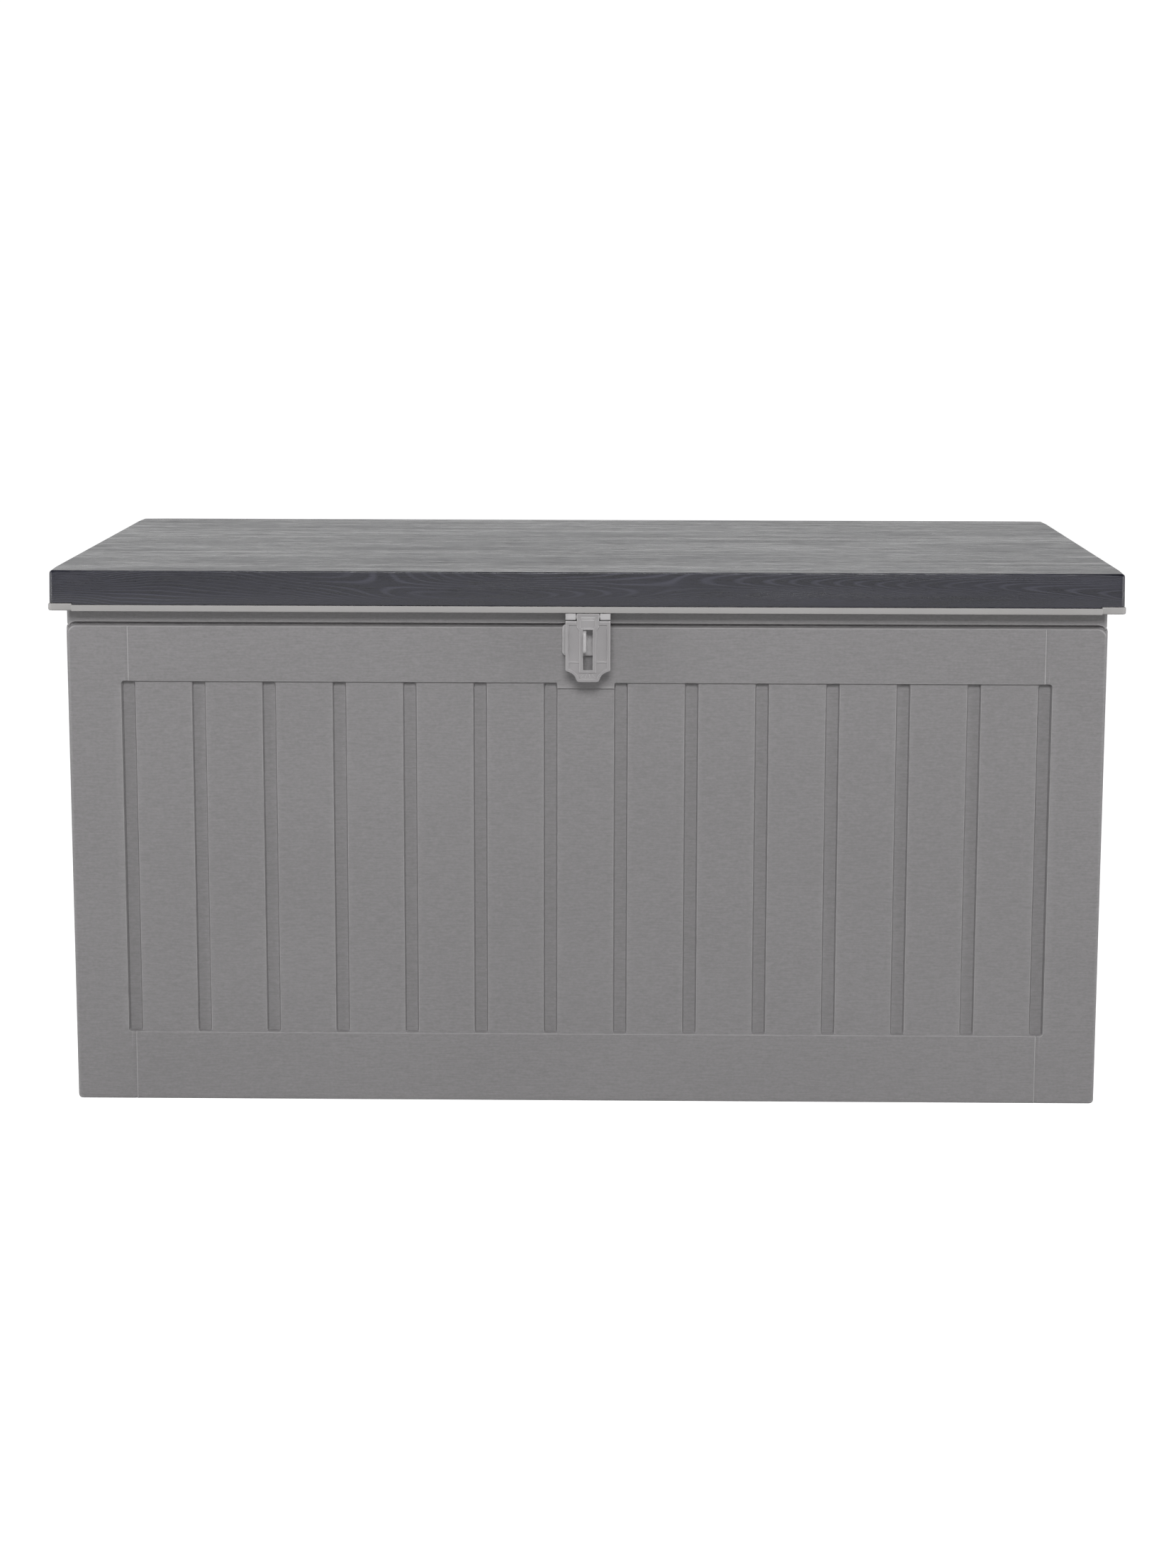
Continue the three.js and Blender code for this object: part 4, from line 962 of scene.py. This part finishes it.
def build_hinges():
    for side in ("left", "right"):
        low, high = node_box(f"hinge_body_leaf_{side}")
        place = Matrix.Translation(((low[0] + high[0]) / 2, HINGE_Y, HINGE_Z))
        leaf = fixed_leaf(low[1] - HINGE_Y).moved(place)
        make_piece(f"hinge_fixed_leaf_{side}", leaf, "body", "liner_light", [f"hinge_body_leaf_{side}"])
        leaf = moving_leaf().moved(place)
        make_piece(f"hinge_moving_leaf_{side}", leaf, "lid", "liner_light", [f"hinge_lid_leaf_{side}"])
        rod = hinge_rod().moved(place)
        make_piece(f"hinge_rod_{side}", rod, "body", "zinc_steel", [f"hinge_pin_{side}"])


build_hinges()


# ---------- hasp ----------
hasp_low, hasp_high = node_box("hasp_flap")
HASP_HALF = (hasp_high[0] - hasp_low[0]) / 2
HASP_Z = 557.8
HASP_PLACE = Matrix.Translation(((hasp_low[0] + hasp_high[0]) / 2, -308.5, HASP_Z))
HASP_BORE = 1.75
STRAP_HALF = 12.4
# in front of the pin
FLAP_FACE, FLAP_BACK, STRAP_BACK = 5.0, 1.0, 1.9
KNUCKLE_FACE = 3.7
# heights on the flap are measured down from the pin
FLAP_START, FLAP_TOP, FLAP_TIP = -3.6, 4.4, HASP_Z - hasp_low[2]
FACE_SLOPE = (1.5, 11.0)  # between the knuckle's face and the flap's
STRAP_NECK = (11.0, 15.0)  # the strap narrows here to the slot's frame
SLOT_HALF, SLOT_TOP, SLOT_BOTTOM = 5.45, 13.7, 59.1
SLOT_FRAME = 9.6  # half width
SLOT_FOOT = 3.0
FLAP_RIM = 3.7
FLAP_SINK = 1.2  # fields below the rim
FIELD_START = 4.2
FLAP_SOFT = 0.4
LEVEL_RIB, LEVEL_RIB_HALF, LEVEL_RIB_SINK = 50.2, 0.45, 0.35
PANEL_HALF, PANEL_TOP, PANEL_CORNER, PANEL_SINK = 7.9, 0.2, 0.8, 0.8  # a sunk panel above the slot
NOTCH_BOTTOM, NOTCH_SINK = 3.2, 0.3
FAN_LEANS, FAN_ORIGIN, FAN_HALF, FAN_RISE = (-0.9, -0.3, 0.3, 0.9), 58.5, 0.3, 0.4  # fine ribs at the tip
FAN_BOX = (-9.0, 9.0, 63.4, 68.6, 1.5)
SIDE_END = 58.6
# half widths of the flap's outline: straight sides, hollow shoulders and a narrow round-cornered tip
FLAP_OUTLINE = (
    (FLAP_TOP, HASP_HALF - 0.6), (FLAP_TOP + 0.6, HASP_HALF), (SIDE_END, HASP_HALF),
    (59.6, 24.2), (60.6, 22.6), (61.8, 19.9), (63.2, 17.4), (65.0, 15.3), (67.2, 13.9), (69.4, 13.0),
    (71.0, 12.2), (71.9, 11.2), (FLAP_TIP, 9.6),
)


def inside_outline(x, d):
    """Distance in from the flap's outline."""
    outline = np.array(FLAP_OUTLINE)
    nearest = np.full(x.shape, np.inf)
    for (d0, x0), (d1, x1) in zip(outline, outline[1:]):
        along = ((d - d0) * (d1 - d0) + (np.abs(x) - x0) * (x1 - x0)) / ((d1 - d0) ** 2 + (x1 - x0) ** 2)
        t = np.clip(along, 0, 1)
        nearest = np.minimum(nearest, np.hypot(d - d0 - t * (d1 - d0), np.abs(x) - x0 - t * (x1 - x0)))
    nearest = np.minimum(nearest, np.where(np.abs(x) < STRAP_HALF, np.inf, d - FLAP_TOP))
    return np.minimum(nearest, FLAP_TIP - d)


def flap_face(x, d):
    """How far the flap's front stands from the pin, at x across and d below it."""
    fields = ramp(FLAP_RIM - inside_outline(x, d), FLAP_SOFT)
    fields = fields * ramp(FLAP_TOP + FIELD_START - d, FLAP_SOFT)
    strap = ramp(np.abs(x) - np.interp(d, STRAP_NECK, (STRAP_HALF, SLOT_FRAME)), FLAP_SOFT)
    strap = strap * ramp(d - (SLOT_BOTTOM + SLOT_FOOT), FLAP_SOFT)
    off_rib = 1 - ramp(np.abs(d - LEVEL_RIB) - LEVEL_RIB_HALF, FLAP_SOFT)
    sunk = fields * (1 - strap) * (LEVEL_RIB_SINK + (1 - LEVEL_RIB_SINK) * off_rib)

    def panel_down_to(bottom):
        reach = box_distance(x, d, -PANEL_HALF, PANEL_HALF, PANEL_TOP, bottom, PANEL_CORNER)
        return ramp(reach, FLAP_SOFT)

    fan = 0.0
    for lean in FAN_LEANS:
        ray = ramp(np.abs(x - lean * (d - FAN_ORIGIN)) - FAN_HALF, FLAP_SOFT)
        fan = np.maximum(fan, ray * ramp(box_distance(x, d, *FAN_BOX), FLAP_SOFT))
    strap_face = np.interp(d, FACE_SLOPE, (KNUCKLE_FACE, FLAP_FACE))
    face = np.where(np.abs(x) > STRAP_HALF, FLAP_FACE, strap_face) - FLAP_SINK * sunk + FAN_RISE * fan
    return face - PANEL_SINK * panel_down_to(SLOT_TOP - 1.6) - NOTCH_SINK * panel_down_to(NOTCH_BOTTOM)


FLAP_STEP, FLAP_FINEST = 0.42, 0.2  # mesh cells
FLAP_EDGE, FLAP_EDGE_DROP = 0.9, 0.8  # the rounding along the flap's edges
HUB, SLEEVE, SLEEVE_REACH, SLEEVE_SOFT = 3.6, 2.5, 0.85, 0.2


def build_flap():
    across = [s * k / HASP_HALF for s in (-1, 1) for k in (SLOT_HALF, STRAP_HALF)]
    x_lines = grid_lines(-1.0, 1.0, [], across, FLAP_STEP / HASP_HALF, FLAP_FINEST / HASP_HALF)
    outline_d, outline_half = zip(*FLAP_OUTLINE)
    down = [SLOT_TOP, SLOT_BOTTOM, *outline_d]
    d_lines = grid_lines(FLAP_START, FLAP_TIP, [], down, FLAP_STEP, FLAP_FINEST)
    half = np.where(d_lines < SIDE_END, HASP_HALF, np.interp(d_lines, outline_d, outline_half))
    x, d = np.broadcast_arrays(x_lines[:, None] * half, d_lines)
    soften = FLAP_EDGE_DROP * (1 - np.clip(inside_outline(x, d) / FLAP_EDGE, 0, 1)) ** 2
    front = on_grid(x, soften - flap_face(x, d), -d)
    back = on_grid(x, -np.where(d < FLAP_TOP, STRAP_BACK, FLAP_BACK), -d)
    middle_x = np.abs(x[:-1, :-1] + x[1:, 1:]) / 2
    middle_d = (d[:-1, :-1] + d[1:, 1:]) / 2
    slot = (middle_x < SLOT_HALF) & (middle_d > SLOT_TOP) & (middle_d < SLOT_BOTTOM)
    beside_strap = (middle_x > STRAP_HALF) & (middle_d < FLAP_TOP)
    shape = add_double_surface(Shape(), front, back, ~(slot | beside_strap))
    add_collar(shape, -STRAP_HALF, STRAP_HALF, lambda angle: HUB, HASP_BORE)
    # a slimmer sleeve hides the rod in the gaps beside the bracket's knuckles
    reach = STRAP_HALF + SLEEVE_REACH
    add_collar(shape, -reach, reach, lambda angle: SLEEVE, HASP_BORE, SLEEVE_SOFT)
    make_piece("hasp_flap_moulding", shape.moved(HASP_PLACE), "hasp", "hasp_light", ["hasp_flap"], sharp=55.0)


KNUCKLE_FRONT, KNUCKLE_BACK, KNUCKLE_TOP, KNUCKLE_FOOT = 3.6, 6.0, 3.85, 3.7
KNUCKLE_SWING = 4.4  # radius of its lower front, which the flap turns past
KNUCKLE_GAP = 1.0
ROD, ROD_EASED, ROD_SHORT = 1.5, 0.3, 1.0


def bracket_outline(angle):
    """A squarish knuckle with a round lower front."""
    y, z = math.cos(angle), math.sin(angle)
    limits = [max(-y, 0) / KNUCKLE_FRONT, max(y, 0) / KNUCKLE_BACK]
    limits += [max(z, 0) / KNUCKLE_TOP, max(-z, 0) / KNUCKLE_FOOT]
    if y < 0 and z < 0:
        limits.append(1 / KNUCKLE_SWING)
    sharpness = 14
    return sum(limit**sharpness for limit in limits) ** (-1 / sharpness)


def build_bracket():
    shape = Shape()
    add_block(shape, (-HASP_HALF, 4.9, 1.45), (HASP_HALF, 13.0, KNUCKLE_TOP), 0.5)
    for sign in (-1, 1):
        inner, outer = sorted((sign * (STRAP_HALF + KNUCKLE_GAP), sign * HASP_HALF))
        add_collar(shape, inner, outer, bracket_outline, HASP_BORE)
    make_piece("hasp_knuckles", shape.moved(HASP_PLACE), "lid", "hasp_light", ["hasp_bracket"])
    end = HASP_HALF - ROD_SHORT
    profile = [(0, -end), (ROD - ROD_EASED, -end), (ROD, ROD_EASED - end)]
    profile += [(radius, -along) for radius, along in reversed(profile)]
    rod = add_turned(Shape(), profile, 24)
    make_piece("hasp_rod", rod.moved(HASP_PLACE), "lid", "zinc_steel", ["hasp_pin"])


def add_plate(shape, low, high, corner, soft):
    """An upright plate facing the front, with round corners and a softened front edge."""
    steps = 6
    count = 4 * (steps + 1)
    points = []
    for y, inset in ((low[1], soft), (low[1] + soft * 0.3, soft * 0.3), (low[1] + soft, 0.0), (high[1], 0.0)):
        radius = corner - inset
        for quarter in range(4):
            centre_x = high[0] - corner if quarter in (0, 3) else low[0] + corner
            centre_z = high[2] - corner if quarter in (0, 1) else low[2] + corner
            for k in range(steps + 1):
                angle = math.pi / 2 * (quarter + k / steps)
                points.append((centre_x + radius * math.cos(angle), y, centre_z + radius * math.sin(angle)))
    faces = [list(range(count)), [3 * count + k for k in reversed(range(count))]]
    return shape.add(points, faces + faces_between(4, count, closed=False))


PLATE, PLATE_CORNER, PLATE_SOFT = 5.0, 4.5, 1.2
FIN_HALF, FIN_LOW, FIN_HIGH, FIN_CORNER, FIN_EASED = 1.7, 518.5, 543.0, 4.0, 0.35
HOLE, HOLE_INSET = 3.5, 6.0
FIN_SIDES = 48


def fin_reach(angle, centre, tip, root):
    """How far the fin reaches from the hole's centre in a direction: a rectangle whose outer corners are
    rounded, found by stepping out until just inside its edge."""
    distances = np.arange(HOLE + 0.1, 40.0, 0.05)
    y = centre[0] + math.cos(angle) * distances
    z = centre[1] + math.sin(angle) * distances
    fin = box_distance(y, z, tip, root + 30, FIN_LOW, FIN_HIGH, FIN_CORNER)
    return distances[np.argmin((y <= root) & (fin <= 0)) - 1]


def add_fin(shape, x, tip, root):
    """The padlock fin: a thin plate with a round hole, and eased edges along both."""
    centre = (tip + HOLE_INSET, (FIN_LOW + FIN_HIGH) / 2)
    angles = full_turn(FIN_SIDES)
    edge = [fin_reach(angle, centre, tip, root) for angle in angles]
    flat = FIN_HALF - FIN_EASED
    sides = [(-FIN_HALF, FIN_EASED), (-flat, 0.0), (flat, 0.0), (FIN_HALF, FIN_EASED)]
    rings = [(across, [reach - eased for reach in edge]) for across, eased in sides]
    rings += [(across, [HOLE + eased] * FIN_SIDES) for across, eased in reversed(sides)]
    points = []
    for across, radii in rings:
        for angle, radius in zip(angles, radii):
            y, z = radius * math.cos(angle), radius * math.sin(angle)
            points.append((x + across, centre[0] + y, centre[1] + z))
    shape.add(points, faces_between(len(rings), FIN_SIDES, closed=True))


def build_staple():
    low, high = node_box("staple_plate")
    face = high[1] - PLATE
    shape = Shape()
    add_plate(shape, (low[0], face, low[2]), high, PLATE_CORNER, PLATE_SOFT)
    add_fin(shape, (low[0] + high[0]) / 2, low[1], face + 1.0)
    make_piece("staple_moulding", shape, "body", "hasp_light", ["staple_plate"])


build_flap()
build_bracket()
build_staple()


# ---------- screws ----------
SCREW_HEAD, SCREW_RISE, SCREW_SHANK = 3.3, 2.0, 1.6
THREAD_PITCH, THREAD_DEPTH = 1.4, 0.35
CROSS_HALF, CROSS_WIDTH, CROSS_DEPTH = 2.0, 0.42, 1.1


def screw_mesh(length):
    """A pan-head screw with a cross recess. Its shank runs down from the underside of the head, at z = 0."""
    profile = [(0, -length), (0.5, -length + 0.2), (SCREW_SHANK, -length + 2.2)]
    for k in range(int((length - 3.0) / THREAD_PITCH)):
        z = -length + 2.4 + THREAD_PITCH * k
        profile += [(SCREW_SHANK, z), (SCREW_SHANK - THREAD_DEPTH, z + 0.5), (SCREW_SHANK, z + 1.1)]
    profile += [(SCREW_SHANK, -0.2), (SCREW_SHANK, 0.0), (SCREW_HEAD - 0.2, 0.0), (SCREW_HEAD, 0.3)]
    profile += [(SCREW_HEAD - 0.1, 0.9), (SCREW_HEAD - 0.6, 1.5), (SCREW_HEAD / 2, SCREW_RISE - 0.1)]
    shape = add_turned(Shape(), [*profile, (0, SCREW_RISE)], 32, "Z")
    body = add_object("screw_body", shape_mesh(f"screw_{length:.0f}", shape))
    cross = Shape()
    for x, y in ((CROSS_WIDTH, CROSS_HALF), (CROSS_HALF, CROSS_WIDTH)):
        add_block(cross, (-x, -y, SCREW_RISE - CROSS_DEPTH), (x, y, SCREW_RISE + 1.0), 0.1, 1)
    cutter = add_object("cross", shape_mesh("cross", cross))
    cut = body.modifiers.new("cross", "BOOLEAN")
    cut.operation = "DIFFERENCE"
    cut.solver = "EXACT"
    cut.use_self = True
    cut.object = cutter
    done = bpy.data.meshes.new_from_object(body.evaluated_get(bpy.context.evaluated_depsgraph_get()))
    for thing in (body, cutter):
        bpy.data.objects.remove(thing)
    done.shade_smooth()
    done.set_sharp_from_angle(angle=math.radians(35))
    done.materials.clear()
    done.materials.append(MATERIALS["zinc_steel"])
    return done


SCREW_DIRECTIONS = {
    "corner_screw_front": (0, -1, 0),
    "corner_screw": (0, 1, 0),
    "base_screw": (0, 0, -1),
    "hinge_body_screw": (0, -1, 0),
    "staple_screw": (0, 1, 0),
}


def screw_axis(node):
    """Which way a screw was driven, from its name. Those of the lid go up."""
    found = (Vector(axis) for name, axis in SCREW_DIRECTIONS.items() if node.startswith(name))
    return next(found, Vector((0, 0, 1)))


def build_screws():
    meshes = {}
    for node in sorted(frame["nodes"]):
        if "screw" not in node:
            continue
        low, high = (Vector(v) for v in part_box(node))
        direction = screw_axis(node)
        span = abs(direction.dot(high - low))
        head_end = (low + high) / 2 - direction * span / 2
        length = round(span / MM - SCREW_RISE, 1)
        if length not in meshes:
            meshes[length] = screw_mesh(length)
        mesh = meshes[length].copy()
        turn = Vector((0, 0, -1)).rotation_difference(direction).to_matrix().to_4x4()
        # each cross recess stands at its own angle
        spin = Matrix.Rotation(math.radians(37 * len(bpy.data.meshes) % 90), 4, "Z")
        mesh.transform(Matrix.Translation(head_end + direction * SCREW_RISE * MM) @ turn @ spin)
        piece = add_object(f"{node}_crosshead", mesh)
        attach(piece, frame["nodes"][node]["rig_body"])
        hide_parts(node)


build_screws()


# ---------- floor, light and camera, in metres and watts ----------
CAMERA_PLACE = (0.039, -3.346, 0.9515)
CAMERA_PITCH, CAMERA_YAW, CAMERA_ROLL = 8.855, 0.686, 0.133  # down, to the left, and clockwise, in degrees
CAMERA_LENS, CAMERA_SHIFT = 63.78, -0.0611
FLOOR_SIZE, FLOOR_DROP = 120, 0.0005
FLOOR_TONE, FLOOR_GLOW, BACKDROP_GLOW = 0.82, 0.88, 1.04
# name, place, what it is aimed at, width and height, and power
SOFTBOXES = (
    ("softbox_key", (0.0, -3.7, 2.9), (0, -0.3, 0.5), (1.8, 1.2), 124),
    ("softbox_fill", (0.0, -4.2, 0.5), (0, -0.3, 0.35), (2.4, 0.8), 5),
    ("softbox_left", (-2.2, -0.95, 0.75), (0.0, -0.3, 0.35), (0.4, 1.3), 12),
    ("softbox_right", (2.2, -0.95, 0.75), (0.0, -0.3, 0.35), (0.4, 1.3), 12),
)


def build_floor():
    bpy.ops.mesh.primitive_plane_add(size=FLOOR_SIZE, location=(0, 0, -FLOOR_DROP))
    floor = bpy.context.object
    floor.name = "studio_floor"
    material, _, shader = node_tree("studio_floor")
    shader.inputs["Base Color"].default_value = (FLOOR_TONE, FLOOR_TONE, FLOOR_TONE, 1)
    shader.inputs["Roughness"].default_value = 0.9
    shader.inputs["Specular IOR Level"].default_value = 0.1
    shader.inputs["Emission Color"].default_value = (1.0, 1.0, 1.0, 1)
    shader.inputs["Emission Strength"].default_value = FLOOR_GLOW
    floor.data.materials.append(material)
    floor.visible_diffuse = False


def build_world():
    """A white backdrop for the camera. As light, a white wall behind the box, and a dimmer room in front of
    it, above and below."""
    world = bpy.data.worlds.new("studio")
    world.use_nodes = True
    tree = world.node_tree
    toward = add(tree, "ShaderNodeSeparateXYZ")
    tree.links.new(add(tree, "ShaderNodeTexCoord").outputs["Generated"], toward.inputs["Vector"])
    above = remap(tree, toward.outputs["Z"], 0.15, 0.45, 1.08, 0.15)
    below = remap(tree, toward.outputs["Z"], -0.1, -0.02, 0.28, 1.0)
    behind = remap(tree, toward.outputs["Y"], -0.3, 0.3, 0.35, 1.0)
    across = remap(tree, toward.outputs["X"], -0.35, 0.35, 1.07, 0.96)
    level = maths(tree, "MULTIPLY", above, below)
    strength = maths(tree, "MULTIPLY", level, maths(tree, "MULTIPLY", behind, across))
    seen = add(tree, "ShaderNodeLightPath").outputs["Is Camera Ray"]
    unseen = maths(tree, "SUBTRACT", 1.0, seen)
    total = weighted(tree, (seen, BACKDROP_GLOW), (unseen, strength))
    background = tree.nodes["Background"]
    tree.links.new(total, background.inputs["Strength"])
    background.inputs["Color"].default_value = (1.0, 1.0, 1.0, 1)
    bpy.context.scene.world = world


def add_softbox(name, place, aim, size, power):
    light = bpy.data.lights.new(name, "AREA")
    light.shape = "RECTANGLE"
    light.size, light.size_y = size
    light.energy = power
    lamp = add_object(name, light)
    lamp.location = place
    lamp.rotation_euler = (Vector(aim) - Vector(place)).to_track_quat("-Z", "Y").to_euler()


def build_camera():
    """The camera stands in front, a little above the lid, and looks slightly down."""
    pitch, yaw, roll = (math.radians(angle) for angle in (CAMERA_PITCH, CAMERA_YAW, CAMERA_ROLL))
    forward = Vector((-math.sin(yaw) * math.cos(pitch), math.cos(yaw) * math.cos(pitch), -math.sin(pitch)))
    level = Vector((math.cos(yaw), math.sin(yaw), 0))
    right = level * math.cos(roll) + level.cross(forward) * math.sin(roll)
    up = right.cross(forward)
    data = bpy.data.cameras.new("camera")
    data.sensor_width = 36.0
    data.lens = CAMERA_LENS
    data.shift_y = CAMERA_SHIFT
    data.clip_end = 100.0
    camera = add_object("camera", data)
    turn = Matrix((right, up, -forward)).transposed().to_4x4()
    camera.matrix_world = Matrix.Translation(CAMERA_PLACE) @ turn
    bpy.context.scene.camera = camera


build_floor()
build_world()
for softbox in SOFTBOXES:
    add_softbox(*softbox)
build_camera()
bpy.context.scene.view_settings.view_transform = "Standard"
